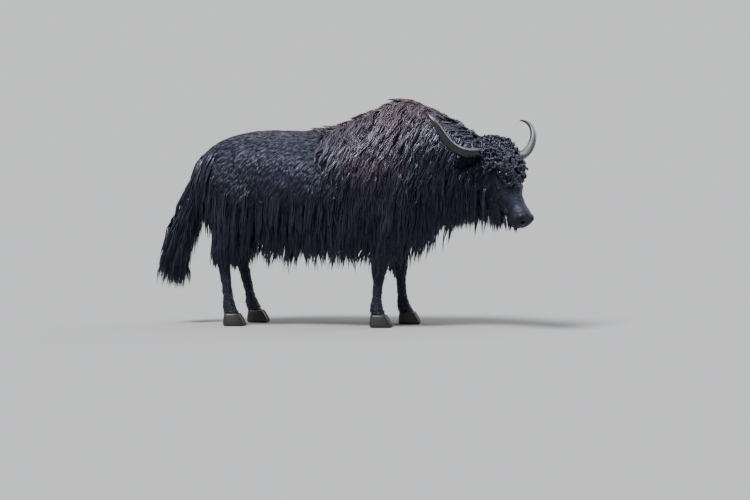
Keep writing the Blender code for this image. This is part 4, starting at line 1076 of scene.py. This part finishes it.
# Tail: a fleshy dock that hangs from the croup, hidden by a full brush of long coarse hair which
# falls almost to the hooves.

DOCK = (
    # x, y, height, radius
    (-0.820, 0.000, 1.060, 0.026),
    (-0.880, 0.000, 1.066, 0.029),
    (-0.918, -0.003, 1.015, 0.032),
    (-0.952, -0.008, 0.905, 0.034),
    (-0.996, -0.014, 0.785, 0.034),
    (-1.034, -0.020, 0.665, 0.030),
    (-1.048, -0.024, 0.555, 0.022),
    (-1.052, -0.026, 0.475, 0.010),
)
TAIL_LOCKS = 430
TAIL_TIP = 0.195
course = smooth_through(DOCK, 40)
dock = swept("tail_dock", course[:, :3], course[:, 3], 18, outward=(1, 0, 0.1))
smooth(dock)


def round_tail(points):
    middle = np.interp(-points[:, 2], -course[:, 2], course[:, 0])
    angle = np.arctan2(points[:, 1] + 0.01, points[:, 0] - middle)
    return in_map(angle / (2 * np.pi) + 0.5, (1.12 - points[:, 2]) / 0.7)


def tail_weight(at, outward):
    fuller = 0.5 + 0.8 * (1 - ramp(at[:, 2], 0.5, 1.0)) + 0.8 * ramp(outward[:, 2], 0.2, 0.5)
    return ramp(at[:, 0], -0.83, -0.85) * fuller * (1 - ramp(-outward[:, 2], 0.45, 0.75))


spots, outward, chance, between = planted(hide_of(dock), TAIL_LOCKS, tail_weight, seed=131)
spread = between(0.10, 0.85) * (1 - 0.5 * ramp(spots[:, 2], 0.82, 1.0))
on_top = ramp(outward[:, 2], 0.05, 0.35)
back = (between(-1.25, -0.2) * (1 - 0.85 * on_top))[:, None] * (1, 0, 0)
way = DOWN + unit(outward * (1, 1, 0.1) + 1e-6) * spread[:, None]
way = way + chance.normal(0, 0.03, (TAIL_LOCKS, 3)) + back
length = np.minimum(between(0.40, 0.54), spots[:, 2] - TAIL_TIP + 0.05)
lift = 0.002, between(0.006, 0.05)
hem = TAIL_TIP + 0.09 * chance.random(TAIL_LOCKS) ** 2
guides = drape(tree_of(dock), spots, outward, way, length, lift, pull=0.60 + 0.7 * on_top, lowest=hem)
tufts("coat_tail", guides, round_tail, long_hair, seed=133, each=9, radius=0.022, width=0.0086, rings=5,
      wave=0.006, wave_length=0.20, frizz=0.0012)
settle(dock, "coat", hide_paint, "tail")


# Legs: short dense hair from the knee down to the hoof, longer behind the fetlock and in a fringe over
# the coronet, with a feather of long locks at the back of the forearm.

LEG_TUFTS = 3700
FEATHER_LOCKS = 110


def round_legs(points):
    """Unwrap of the legs: round each one and along it, the four side by side."""
    forward, left = (points[:, 0] > -0.2).astype(float), (points[:, 1] > 0).astype(float)
    middle_x = np.where(forward > 0, np.where(left > 0, 0.345, 0.204), np.where(left > 0, -0.625, -0.715))
    turn = np.arctan2(points[:, 1] - np.sign(points[:, 1]) * 0.15, points[:, 0] - middle_x)
    angle, along = turn / (2 * np.pi) + 0.5, np.clip(points[:, 2], 0, 0.7) / 0.7
    return (in_map(angle, along, margin=0.05) + stacked(forward, left)) / 2


def leg_weight(at, outward):
    return (1 - ramp(at[:, 2], 0.50, 0.58)) * (1 + 1.6 * (1 - ramp(at[:, 2], 0.09, 0.13)))


def feather_weight(at, outward):
    return (ramp(at[:, 0], 0.0, 0.05) * ramp(at[:, 2], 0.33, 0.45) * (1 - ramp(at[:, 2], 0.58, 0.66))
            * ramp(-outward[:, 0], -0.2, 0.5))


spots, outward, chance, between = planted(body_hide, LEG_TUFTS, leg_weight, seed=141)
height = spots[:, 2]
fringe = 1 - ramp(height, 0.085, 0.12)
behind = ramp(-outward[:, 0], 0.2, 0.8)
fetlock = behind * (1 - ramp(np.abs(height - 0.14), 0.03, 0.06))
way = DOWN + outward * 0.10 + np.array((-0.12, 0, 0)) * behind[:, None]
way = way + chance.normal(0, 0.10, (LEG_TUFTS, 3))
length = between(0.020, 0.032) * (1 + 0.9 * behind * ramp(height, 0.28, 0.42) + 0.6 * fringe + fetlock)
lift = 0.0008, between(0.001, 0.004)
lowest = 0.030 + 0.020 * chance.random(LEG_TUFTS)
guides = drape(body_tree, spots, outward, way, length, lift, pull=0.2, lowest=lowest)
tufts("coat_legs", guides, round_legs, short_hair, seed=143, each=2, radius=0.004, width=0.0052, rings=2,
      frizz=0.0004, flatness=0.3, tip_radius=0.7, thickness=0.2, mottle=0.7)

spots, outward, chance, between = planted(body_hide, FEATHER_LOCKS, feather_weight, seed=151)
way = DOWN + np.array((-0.25, 0, 0)) + chance.normal(0, 0.08, (FEATHER_LOCKS, 3))
guides = drape(body_tree, spots, outward, way, between(0.10, 0.19), (0.002, between(0.006, 0.02)), pull=0.5,
               lowest=0.22 + 0.08 * chance.random(FEATHER_LOCKS))
tufts("coat_feather", guides, round_legs, long_hair, seed=153, each=9, radius=0.014, width=0.0070, rings=4,
      wave=0.003, wave_length=0.12, frizz=0.001)


# Forehead: a thick mop of tight curls from the poll down between the eyes, each a ringlet of a few
# tufts wound round its own root, and more of them round the roots of the horns.

CURLS, HORN_ROOT_CURLS = 560, 60
MOP = ((-0.10, -0.02, 0.10, 0.16, 0.24, 0.30), (0.11, 0.135, 0.120, 0.080, 0.058, 0.036))   # along, width
curl_hair = hair_finish("curled hair", 0.33, brown=0.25, light=1.15, gloss=0.9)


def round_head(points):
    local = in_head(points)
    angle = np.arctan2(local[:, 0], local[:, 2] + 0.08) / (2 * np.pi) + 0.5
    return in_map(angle, (local[:, 1] + 0.16) / 0.70)


def off_the_eyes(local, low, high):
    """0 over the eyes, 1 beyond: low and high are the ends of the change, from the middle of the eye."""
    clear = np.ones(len(local))
    for side in (-1, 1):
        eye = np.array(EYE_AT) * (side, 1, 1) + np.array(gaze(side)) * EYE_RADIUS
        clear *= ramp(np.linalg.norm((local - eye) / (1, 1.25, 1), axis=1), low, high)
    return clear


def curl_zone(at, outward=None):
    local = in_head(at)
    across, (along, up) = np.abs(local[:, 0]), local[:, 1:].T
    reach = np.interp(along, *MOP)
    return (ramp(up, -0.060, -0.020) * ramp(along, -0.13, -0.09) * (1 - ramp(along, 0.25, 0.31))
            * (1 - ramp(across, reach - 0.012, reach + 0.012)) * off_the_eyes(local, 0.032, 0.040))


def ringlets(name, spots, outward, size, tall, seed, radius):
    """Locks wound up into curls that rise from the hide and turn back to it."""
    count = len(spots)
    chance = np.random.default_rng(seed)
    first = unit(np.cross(outward, chance.normal(0, 1, (count, 3))))
    second = np.cross(outward, first)
    turns = chance.uniform(0.9, 1.4, count) * 2 * np.pi * np.sign(chance.normal(0, 1, count))
    line, facing = np.empty((2, count, GUIDE_POINTS, 3))
    for k, share in enumerate(np.linspace(0, 1, GUIDE_POINTS)):
        wide = size * (0.35 + 0.65 * math.sin(math.pi * min(share * 0.9 + 0.08, 1.0)))
        round_about = first * np.cos(turns * share)[:, None] + second * np.sin(turns * share)[:, None]
        rise = tall * math.sin(0.5 * math.pi * min(1.0, share * 1.5)) * (1 - 0.40 * share) - ROOT_DEPTH
        line[:, k] = spots + outward * rise[:, None] + (round_about - first) * wide[:, None] \
            + TO_NOSE * 0.010 * share
        facing[:, k] = unit(outward + round_about * 0.6)
    tufts(name, (line, facing), round_head, curl_hair, seed=seed + 1, each=6, radius=radius, width=0.0048,
          rings=10, frizz=0.0003, tip_radius=0.6, flatness=0.9, ragged=0.3, roll=0.3, mottle=1.4)


spots, outward, chance, between = planted(head_hide, CURLS, curl_zone, seed=161)
across, along, _ = in_head(spots).T
size = between(0.010, 0.016) * (1 - 0.30 * ramp(along, 0.12, 0.28))
tall = between(0.016, 0.036) + 0.022 * ramp(np.abs(across), 0.045, 0.080)
tall = tall * (1 - 0.40 * ramp(along, 0.10, 0.26))
ringlets("coat_curls", spots, outward, size, tall, seed=163, radius=0.0062)

share = chance.uniform(0.05, 0.62, HORN_ROOT_CURLS)
turn = chance.uniform(-1.9, 1.9, HORN_ROOT_CURLS)
side = np.sign(chance.normal(0, 1, HORN_ROOT_CURLS))
stem = stacked(side * (0.085 + 0.085 * share), 0.004 + 0.003 * share, 0.013 - 0.034 * share)
round_stem = stacked(side * 0.25, np.sin(turn), np.cos(turn))
turned = np.array(HEAD_TURNED).T
spots = (stem + round_stem * 0.026) @ turned + np.array(HEAD_AT)
size, tall = (chance.uniform(0.008, most, HORN_ROOT_CURLS) for most in (0.012, 0.016))
ringlets("coat_horn_curls", spots, unit(round_stem @ turned), size, tall, seed=165, radius=0.0054)


# Cheeks, jaw and throat: hair that lengthens from the short coat of the face to a fringe under the
# jaw, and a beard and throat of long hair, which hangs to one line a little below the muzzle.

CHEEK_LOCKS, THROAT_LOCKS, BEARD_LOCKS = 420, 360, 330
THROAT_LINE = 0.566


def not_horn(local):
    """0 inside the horn and the ear roots, 1 away from them."""
    clear = np.ones(len(local))
    for side in (-1, 1):
        clear *= ramp(np.linalg.norm(local - (side * 0.105, 0.008, 0.006), axis=1), 0.026, 0.034)
    return clear


def cheek_weight(at, outward):
    local = in_head(at)
    _, along, up = local.T
    return (ramp(up, -0.02, -0.06) * (1 - ramp(along, 0.16, 0.30)) * ramp(along, -0.12, -0.08)
            + 0.8 * (1 - ramp(along, -0.02, 0.02)) * (1 - curl_zone(at))) * not_horn(local)


def throat_weight(at, outward):
    return ramp(at[:, 0], 0.47, 0.56) * (1 - ramp(at[:, 2], 0.86, 0.98))


def beard_weight(at, outward):
    _, along, up = in_head(at).T
    return ramp(-up, 0.112, 0.135) * (1 - ramp(along, 0.43, 0.46))


def hanging(name, hide, tree, unwrap, locks, weight, seed, longest):
    spots, outward, chance, between = planted(hide, locks, weight, seed)
    way = DOWN + np.array((-0.10, 0, 0)) + chance.normal(0, 0.08, (locks, 3))
    reach = (spots[:, 2] - THROAT_LINE - 0.02 * noise_on(spots * (1, 1, 0), seed, 0.03)
             - 0.04 * chance.random(locks) ** 2)
    length = np.clip(reach, 0.04, longest(spots)) * between(0.88, 1.0)
    guides = drape(tree, spots, outward, way, length, (0.002, between(0.002, 0.014)), pull=0.8)
    tufts(name, guides, unwrap, long_hair, seed=seed + 2, each=7, radius=0.015, width=0.0074, rings=4,
          wave=0.0025, wave_length=0.13, frizz=0.0008)


spots, outward, chance, between = planted(head_hide, CHEEK_LOCKS, cheek_weight, seed=171)
way = DOWN * 0.8 - TO_NOSE * 0.45 + chance.normal(0, 0.12, (CHEEK_LOCKS, 3))
_, along, up = in_head(spots).T
length = between(0.05, 0.085) * (1 + 0.5 * ramp(-up, 0.12, 0.2)) * (1 - 0.35 * ramp(along, 0.08, 0.2))
guides = drape(head_tree, spots, outward, way, length, (0.002, between(0.003, 0.012)), pull=0.35)
tufts("coat_cheek", guides, round_head, curl_hair, seed=173, each=6, radius=0.012, width=0.0060, rings=4,
      wave=0.0022, wave_length=0.09, frizz=0.0006)
hanging("coat_throat", body_hide, body_tree, round_body, THROAT_LOCKS, throat_weight, 183, lambda at: 0.30)
hanging("coat_beard", head_hide, head_tree, round_head, BEARD_LOCKS, beard_weight, 187,
        lambda at: np.interp(in_head(at)[:, 1], (0.10, 0.24, 0.33, 0.43), (0.33, 0.26, 0.20, 0.095)))


# Face: fine hair a few centimetres long that lies flat, towards the nose on the front and down on the
# cheeks, and thins to bare skin round the eyes, the nostrils and the lips.

FACE_TUFTS = 11500
face_hair = hair_finish("face hair", 0.44, light=1.3, gloss=0.5, contrast=0.3)


def face_weight(at, outward):
    local = in_head(at)
    _, along, up = local.T
    bare = np.minimum(ramp(along, 0.440, 0.468), ramp(up, -0.108, -0.094))
    return ((1 - bare) * (1 - curl_zone(at)) * ramp(along, 0.02, 0.10) * off_the_eyes(local, 0.021, 0.027)
            * (1 - 0.5 * ramp(along, 0.44, 0.5)))


spots, outward, chance, between = planted(head_hide, FACE_TUFTS, face_weight, seed=191)
_, along, up = in_head(spots).T
on_front = ramp(up, -0.06, 0.0)[:, None]
way = TO_NOSE * on_front + (DOWN * 0.7 - TO_NOSE * 0.5) * (1 - on_front)
way = way + chance.normal(0, 0.12, (FACE_TUFTS, 3))
small = 1 - 0.35 * ramp(along, 0.26, 0.44)
length = between(0.020, 0.030) * small
guides = drape(head_tree, spots, outward, way, length, (0.0005, between(0.0006, 0.0018) * small**2),
               pull=0.05)
tufts("coat_face", guides, round_head, face_hair, seed=193, each=1, radius=0.0, width=0.0024 * small**1.6,
      rings=2, thickness=0.10, roll=0.10, mottle=0.5)


# Eyes: wet dark globes with a brown iris and a level oval pupil, deep between thick black lids
# fringed with lashes.

BOTH_SIDES = (("right", 1), ("left", -1))
LID_HALF_LENGTH, LID_HALF_HEIGHT = 0.0215, 0.0118
LID_POINTS = 56
LID_PROFILE = (
    # share of the opening's half size, rise at the upper lid, rise at the lower one
    (1.00, -0.0015, -0.0015),
    (0.99, 0.0010, 0.0008),
    (1.05, 0.0028, 0.0020),
    (1.18, 0.0048, 0.0030),
    (1.34, 0.0052, 0.0030),
    (1.46, 0.0036, 0.0018),
    (1.56, 0.0030, 0.0014),
    (1.66, 0.0036, 0.0018),
    (1.82, 0.0022, 0.0012),
    (2.00, -0.0020, -0.0020),
    (1.80, -0.0080, -0.0080),
    (1.20, -0.0060, -0.0060),
)
IRIS = (
    # share of the way from the middle of the iris to the back, colour
    (0.50, (0.0026, 0.0018, 0.0015)),
    (0.54, (0.0016, 0.0012, 0.0011)),
    (0.60, (0.0040, 0.0033, 0.0031)),
)
PUPIL = (0.0015, 0.0015, 0.002)
PUPIL_HALF_LENGTH, PUPIL_HALF_HEIGHT = 0.36, 0.17
CORNEA_BULGE = 0.06
eye_paint, tree = new_finish("eye")
iris = banded(tree, told(tree, "ring"), IRIS)
shade(tree, mixed(tree, told(tree, "pupil"), iris, PUPIL), roughness=0.07, gloss=0.22)


def eyeball(word, middle, look, lengthwise, crosswise):
    eye = ball("eyeball_" + word, middle, (EYE_RADIUS,) * 3, sides=48, rings=32)
    outward = unit(points_of(eye) - np.array(middle))
    facing = outward @ np.array(look)
    bulge = 1 + CORNEA_BULGE * ramp(facing, 0.72, 0.95)
    put_points(eye, np.array(middle) + outward * EYE_RADIUS * bulge[:, None])
    mark(eye, "ring", np.arccos(np.clip(facing, -1, 1)) / (math.pi / 2) * 0.9)
    from_slot = np.hypot(outward @ np.array(lengthwise) / PUPIL_HALF_LENGTH,
                         outward @ np.array(crosswise) / PUPIL_HALF_HEIGHT)
    mark(eye, "pupil", (1 - ramp(from_slot, 0.85, 1.1)) * (facing > 0))
    smooth(eye)
    eye.data.transform(HEAD)
    settle(eye, "eye", eye_paint, "eye_" + word)


def eyelids(word, side, middle, look, lengthwise, crosswise):
    """The fleshy ring round the opening, from the edge on the eyeball to the hide; gives its upper edge."""
    rings = [[] for _ in LID_PROFILE]
    upper_edge = []
    for k in range(LID_POINTS):
        turn = 2 * math.pi * k / LID_POINTS
        rise = math.sin(turn)
        high = LID_HALF_HEIGHT * (1.12 if rise > 0 else 0.88)
        flat = (lengthwise * math.cos(turn) * LID_HALF_LENGTH
                + crosswise * side * rise * abs(rise) ** 0.3 * high)
        rim = math.sqrt(EYE_RADIUS ** 2 - flat.length_squared) * 1.02
        from_out = HEAD @ (middle + flat * 2 + look * 0.1)
        met = head_tree.ray_cast(from_out, -(HEAD_TURNED @ look))[0]
        hide_level = 0.1 - (met - from_out).length if met else rim * 0.6
        for ring, (share, rise_up, rise_low) in zip(rings, LID_PROFILE):
            blend = ramp(share, 1.05, 2.0)
            level = (rim * (1 - blend) + hide_level * blend
                     + rise_low + (rise_up - rise_low) * (0.5 + 0.5 * rise))
            if share > 1 and rise_low > 0:
                # The lid lies over the eyeball, never inside it.
                level = max(level, math.sqrt(max(EYE_RADIUS**2 - (flat * share).length ** 2, 0)) + 0.0015)
            ring.append(middle + flat * share + look * level)
        if 0.12 < turn < math.pi - 0.12:
            upper_edge += [HEAD @ rings[3][-1], HEAD @ rings[4][-1]]
    lids = loft("lids_" + word, rings, closed_round=True)
    smooth(lids)
    ways = np.array((lengthwise / LID_HALF_LENGTH, crosswise / LID_HALF_HEIGHT))
    wet = np.linalg.norm((points_of(lids) - np.array(middle + look * EYE_RADIUS)) @ ways.T, axis=1)
    mark(lids, "bare", 0.35 - 0.35 * ramp(wet, 1.15, 1.5))
    lids.data.transform(HEAD)
    add_grain(lids)
    settle(lids, "coat", hide_paint)
    return upper_edge


lash_edges = {}
for word, side in BOTH_SIDES:
    look = gaze(side)
    lengthwise = (Vector((0, 1, 0)) - look * look.y).normalized()
    axes = on_side(side, EYE_AT), look, lengthwise, look.cross(lengthwise).normalized()
    eyeball(word, *axes)
    lash_edges[word] = eyelids(word, side, *axes)


# Lashes and whiskers: single stiff hairs, rows of them on the upper lids and a scatter on muzzle, lips
# and chin. Nodes plant them on a patch of skin, each bent along its own length.

BRISTLE_INPUTS = (("Patch", "Geometry"), ("Per area", "Float"), ("Length", "Float"), ("Thickness", "Float"),
                  ("Bend", "Float"), ("Seed", "Int"), ("Finish", "Material"))
BRISTLE_BLACK = (0.010, 0.009, 0.010)
BRISTLE_RADIUS = 0.00035
bristle_paint, tree = new_finish("bristle")
shade(tree, BRISTLE_BLACK, roughness=0.35)


def grown(kind, feeds, output=0, **settings):
    return node(bristle_tree, kind, feeds, **settings).outputs[output]


bristle_tree = bpy.data.node_groups.new("bristles", "GeometryNodeTree")
bristle_sockets = {label: bristle_tree.interface.new_socket(
    label, in_out="INPUT", socket_type="NodeSocket" + kind).identifier for label, kind in BRISTLE_INPUTS}
bristle_tree.interface.new_socket("Bristles", in_out="OUTPUT", socket_type="NodeSocketGeometry")
given = node(bristle_tree, "NodeGroupInput").outputs
scatter = node(bristle_tree, "GeometryNodeDistributePointsOnFaces",
               {"Mesh": given["Patch"], "Density": given["Per area"], "Seed": given["Seed"]}).outputs
tilt = grown("FunctionNodeRandomValue", {0: (-0.35,) * 3, 1: (0.35,) * 3, "Seed": given["Seed"]},
             data_type="FLOAT_VECTOR")
tilt = grown("FunctionNodeEulerToRotation", {0: tilt})
turn = grown("FunctionNodeRotateRotation", {0: scatter["Rotation"], 1: tilt}, rotation_space="LOCAL")
size = grown("FunctionNodeRandomValue", {2: 0.55, 3: 1.0, "Seed": given["Seed"]}, 1, data_type="FLOAT")
half = grown("ShaderNodeMath", {0: given["Length"], 1: 0.6}, operation="MULTIPLY")
course = grown("GeometryNodeCurveQuadraticBezier", {
    "Resolution": 5, "Start": (0, 0, -0.002), "Middle": grown("ShaderNodeCombineXYZ", {"Z": half}),
    "End": grown("ShaderNodeCombineXYZ", {"Z": given["Length"], "Y": given["Bend"]})})
taper = grown("ShaderNodeMapRange", {
    "Value": grown("GeometryNodeSplineParameter", {}, "Factor"), "To Min": 1.0, "To Max": 0.12})
section = grown("GeometryNodeCurvePrimitiveCircle", {"Resolution": 4, "Radius": given["Thickness"]})
tapered = grown("GeometryNodeSetCurveRadius", {"Curve": course, "Radius": taper})
hair = grown("GeometryNodeCurveToMesh", {"Curve": tapered, "Profile Curve": section, "Fill Caps": True})
planting = grown("GeometryNodeInstanceOnPoints", {
    "Points": scatter["Points"], "Instance": hair, "Rotation": turn, "Scale": size})
whole = grown("GeometryNodeSetShadeSmooth", {0: grown("GeometryNodeRealizeInstances", {0: planting})})
node(bristle_tree, "NodeGroupOutput", {"Bristles": grown(
    "GeometryNodeSetMaterial", {"Geometry": whole, "Material": given["Finish"]})})


def bristles(name, points, faces, **sizes):
    patch = drawn(name, points, faces)
    step = patch.modifiers.new("bristles", "NODES")
    step.node_group = bristle_tree
    for label, value in sizes.items():
        step[bristle_sockets[label.replace("_", " ")]] = value
    step[bristle_sockets["Finish"]] = bristle_paint
    apply_modifiers(patch)
    settle(patch, "coat", bristle_paint)


for word, side in BOTH_SIDES:
    edge = lash_edges[word]
    order = (0, 1, 3, 2) if side > 0 else (0, 2, 3, 1)
    bristles("lashes_" + word, edge, [[k + i for i in order] for k in range(0, len(edge) - 2, 2)],
             Per_area=4.0e5, Length=0.012, Thickness=BRISTLE_RADIUS, Bend=0.006, Seed=5)
points, triangles = head_hide
_, along, up = in_head(points[triangles].mean(axis=1)).T
lips = (ramp(along, 0.36, 0.40) > 0.5) & (up < -0.070) & (along < 0.480)
used, renamed = np.unique(triangles[lips], return_inverse=True)
bristles("whiskers", points[used].tolist(), renamed.reshape(-1, 3).tolist(),
         Per_area=9.0e3, Length=0.022, Thickness=BRISTLE_RADIUS, Bend=0.008, Seed=6)


# Horns: thick at the base, sweeping out, then up and back to a point, with growth rings worn into the
# lower third, dark at the root and at the tip. The grey-white of the bow is partly the horn's own colour
# and partly a painted highlight on its upper side; the underside is painted dark as shade.

HORN_BASE_RADIUS, HORN_TIP_RADIUS = 0.031, 0.004
HORN_COURSE = (
    # Bezier points in the head's axes: root, two handles, tip
    (0.070, 0.003, 0.020),
    (0.379, 0.033, -0.147),
    (0.458, -0.163, 0.108),
    (0.427, -0.301, -0.043),
)
HORN_RINGS, HORN_SIDES = 150, 36
# Pale in the middle of the length: partly the horn's own grey, partly a painted highlight on the bow.
HORN_BANDS = (
    # share of the length, colour
    (0.0, (0.008, 0.0075, 0.008)),
    (0.14, (0.022, 0.022, 0.024)),
    (0.30, (0.070, 0.075, 0.090)),
    (0.50, (0.115, 0.123, 0.148)),
    (0.68, (0.140, 0.148, 0.172)),
    (0.82, (0.040, 0.040, 0.044)),
    (0.92, (0.008, 0.008, 0.009)),
    (1.0, (0.005, 0.005, 0.0055)),
)
# Painted shade: the colour that the underside of each horn is painted, where it faces away from the light.
HORN_PAINTED_SHADE, HORN_DIRT = (0.0058, 0.0062, 0.0088), (0.020, 0.018, 0.0175)
GROWTH_RIDGE, GROWTH_RINGS, RINGS_END = 0.0011, 34, 0.55      # height, how many, share where they fade out
horn_paint, tree = new_finish("horn")
place = node(tree, "ShaderNodeTexCoord").outputs["Object"]
bands = banded(tree, told(tree, "along"), HORN_BANDS)
# Painted shade darkens the underside; only the upper side keeps the pale bands.
lower = mixed(tree, told(tree, "under"), bands, HORN_PAINTED_SHADE)
dirt = spanned(tree, noise(tree, place, scale=38, detail=6), (0.45, 0.72), (0, 0.6))
shade(tree, mixed(tree, dirt, lower, HORN_DIRT), roughness=0.30,
      height=noise(tree, place, scale=210, detail=4), strength=0.35, deep=0.0015)

for word, side in BOTH_SIDES:
    a, b, c, d = (on_side(side, p) for p in HORN_COURSE)
    path, radii = [], []
    for k in range(HORN_RINGS):
        t = k / (HORN_RINGS - 1)
        path.append(HEAD @ (a * (1 - t)**3 + b * 3 * t * (1 - t)**2 + c * 3 * t**2 * (1 - t) + d * t**3))
        radius = HORN_TIP_RADIUS + (HORN_BASE_RADIUS - HORN_TIP_RADIUS) * (1 - t**1.9) ** 0.85
        ridge = GROWTH_RIDGE * max(0.0, 1 - t / RINGS_END) \
            * math.sin(2 * math.pi * (t * GROWTH_RINGS + 0.6 * math.sin(t * 11)))
        radii.append(radius - 0.0009 + ridge)
    horn = swept("horn_shell_" + word, path, radii, HORN_SIDES, CROWN)
    smooth(horn)
    line = np.array([tuple(p) for p in path])
    nearest = np.array([np.argmin(np.sum((line - p) ** 2, 1)) for p in points_of(horn)])
    mark(horn, "along", nearest / (HORN_RINGS - 1))
    outward = unit(points_of(horn) - line[nearest])
    # Painted shade: the more a point faces down or sideways, the darker it is painted.
    mark(horn, "under", 0.10 + 0.88 * ramp(-outward[:, 2], -0.90, -0.38))
    settle(horn, "horn", horn_paint, "horn_" + word)


# Ears: cupped leaves set low behind the horns, drooping a little, with long hair along the edges and
# out of the cup.

EAR_ROOT, EAR_TIP, EAR_OPENS = (0.104, 0.016, -0.052), (0.322, 0.046, -0.112), (0.10, 0.72, 0.52)
EAR_SECTIONS = (
    # share of the length, half width, depth of the cup, wall
    (-0.10, 0.020, 0.000, 0.016),
    (0.0, 0.020, 0.002, 0.016),
    (0.16, 0.028, 0.010, 0.011),
    (0.36, 0.042, 0.020, 0.005),
    (0.60, 0.045, 0.022, 0.004),
    (0.82, 0.032, 0.014, 0.0035),
    (0.97, 0.008, 0.002, 0.003),
)
EAR_ARC, EAR_LOCKS = 21, 260
ear_hair = hair_finish("ear hair", 0.42, brown=0.5, light=1.3)
pale_hair = hair_finish("ear tip hair", 0.45, brown=0.0, light=3.0)


def round_ear(points):
    across, along, up = in_head(points).T
    return in_map((np.abs(across) - 0.08) / 0.26, (along + up + 0.25) / 0.5, margin=0.05)


def ear_leaf(name, root, tip, across, back):
    rings = []
    for share, half_width, depth, wall in smooth_through(EAR_SECTIONS, 40):
        at = root + (tip - root) * share
        outer, inner = [], []
        for k in range(EAR_ARC):
            spread = -1 + 2 * k / (EAR_ARC - 1)
            bow = 1 - spread * spread
            outer.append(at + across * spread * half_width + back * (bow * (depth + wall)))
            inner.append(at + across * spread * half_width * 0.93 + back * (bow * depth - wall * 0.3))
        rings.append(outer + inner[-2:0:-1])
    return loft(name, rings)


for word, side in BOTH_SIDES:
    root, tip = HEAD @ on_side(side, EAR_ROOT), HEAD @ on_side(side, EAR_TIP)
    along = (tip - root).normalized()
    opens = HEAD_TURNED @ on_side(side, EAR_OPENS)
    across = along.cross(opens).normalized()
    back = along.cross(across).normalized()
    if back.dot(opens) > 0:
        back = -back
    ear = ear_leaf("ear_leaf_" + word, root, tip, across, back)
    smooth(ear)
    mark(ear, "bare", np.zeros(len(ear.data.vertices)))
    axis, flat, reach = np.array(along), np.array(across), (tip - root).length

    def on_ear(at, start=np.array(root), axis=axis, flat=flat, reach=reach):
        """The share of the ear's length, and the place across it."""
        return (at - start) @ axis / reach, (at - start) @ flat

    def ear_weight(at, outward, on_ear=on_ear):
        share, aside = on_ear(at)
        return ramp(share, 0.02, 0.1) * (0.5 + ramp(np.abs(aside), 0.010, 0.035))

    spots, outward, chance, between = planted(hide_of(ear), EAR_LOCKS, ear_weight, 201 + side, 203 + side)
    share, aside = on_ear(spots)
    edge = ramp(np.abs(aside), 0.012, 0.036)
    way = axis * 0.85 + np.sign(aside)[:, None] * flat * 0.25 * edge[:, None] + DOWN * 0.35
    way = way + outward * 0.2 + chance.normal(0, 0.1, (EAR_LOCKS, 3))
    length = between(0.022, 0.038) * (1 + 0.7 * edge) * (1 - 0.35 * ramp(share, 0.75, 1.0))
    line, facing = drape(tree_of(ear), spots, outward, way, length, (0.001, 0.004), pull=0.25)
    tipmost = share > 0.70
    for name, chosen, seed, each, width, frizz, finish in (
            ("coat_ear_", ~tipmost, 205, 6, 0.0042, 0.0008, ear_hair),
            ("coat_ear_tip_", tipmost, 207, 7, 0.0040, 0.0010, pale_hair)):
        tufts(name + word, (line[chosen], facing[chosen]), round_ear, finish, seed=seed + side, each=each,
              radius=0.006, width=width, rings=4, frizz=frizz)
    settle(ear, "coat", hide_paint, "ear_" + word)


# Hooves: two claws of black horn on each foot, parted by the cleft and held by a web of skin, with
# growth lines round the wall and dust on them.

CLAW_RINGS = (
    # height, toe, heel, outer edge, inner edge
    (0.0, 0.074, -0.048, 0.052, 0.007),
    (0.0015, 0.077, -0.051, 0.055, 0.005),
    (0.016, 0.079, -0.055, 0.058, 0.004),
    (0.045, 0.066, -0.054, 0.055, 0.004),
    (HOOF_HEIGHT - 0.004, 0.050, -0.050, 0.050, 0.004),
    (HOOF_HEIGHT + 0.002, 0.044, -0.046, 0.045, 0.007),
)
CLAW_SIDES = 36
CLAW_BLACK, CLAW_LINES, CLAW_DUST = (0.0045, 0.0043, 0.0044), (0.013, 0.0115, 0.0110), (0.030, 0.026, 0.023)
WEB_BACK, WEB_DOWN, WEB_HALF_SIZES = 0.004, 0.022, (0.036, 0.016, 0.022)
hoof_paint, tree = new_finish("hoof")
place = node(tree, "ShaderNodeTexCoord").outputs["Object"]
stretched = node(tree, "ShaderNodeMapping", {"Vector": place, "Scale": (14, 14, 160)}).outputs["Vector"]
lines = noise(tree, stretched)
wall = mixed(tree, spanned(tree, lines, (0.35, 0.70)), CLAW_BLACK, CLAW_LINES)
dust = spanned(tree, noise(tree, place, scale=55), (0.55, 0.8), (0, 0.5))
shade(tree, mixed(tree, dust, wall, CLAW_DUST), roughness=0.46, height=lines, strength=0.5, deep=0.0015)

for name, (foot_x, foot_y) in FEET.items():
    label = name.replace("foreleg", "front").replace("hindleg", "hind")
    claws = []
    for side in (-1, 1):
        rings = []
        for height, toe, heel, outer, inner in smooth_through(CLAW_RINGS, 26):
            ring = []
            for k in range(CLAW_SIDES):
                turn = 2 * math.pi * k / CLAW_SIDES
                aside = inner + (outer - inner) * (0.5 + 0.5 * math.cos(turn))
                reach = (toe if math.sin(turn) > 0 else heel) * abs(math.sin(turn)) ** 0.75
                ring.append((foot_x + reach, foot_y + side * aside, max(height, 0.0)))
            rings.append(ring)
        claws.append(loft("claw", rings))
    web = ball("web", (foot_x - WEB_BACK, foot_y, HOOF_HEIGHT - WEB_DOWN), WEB_HALF_SIZES, sides=20, rings=12)
    hoof = joined("hoof_" + label + "_claws", [*claws, web])
    smooth(hoof)
    settle(hoof, "hoof", hoof_paint, "hoof_" + label)
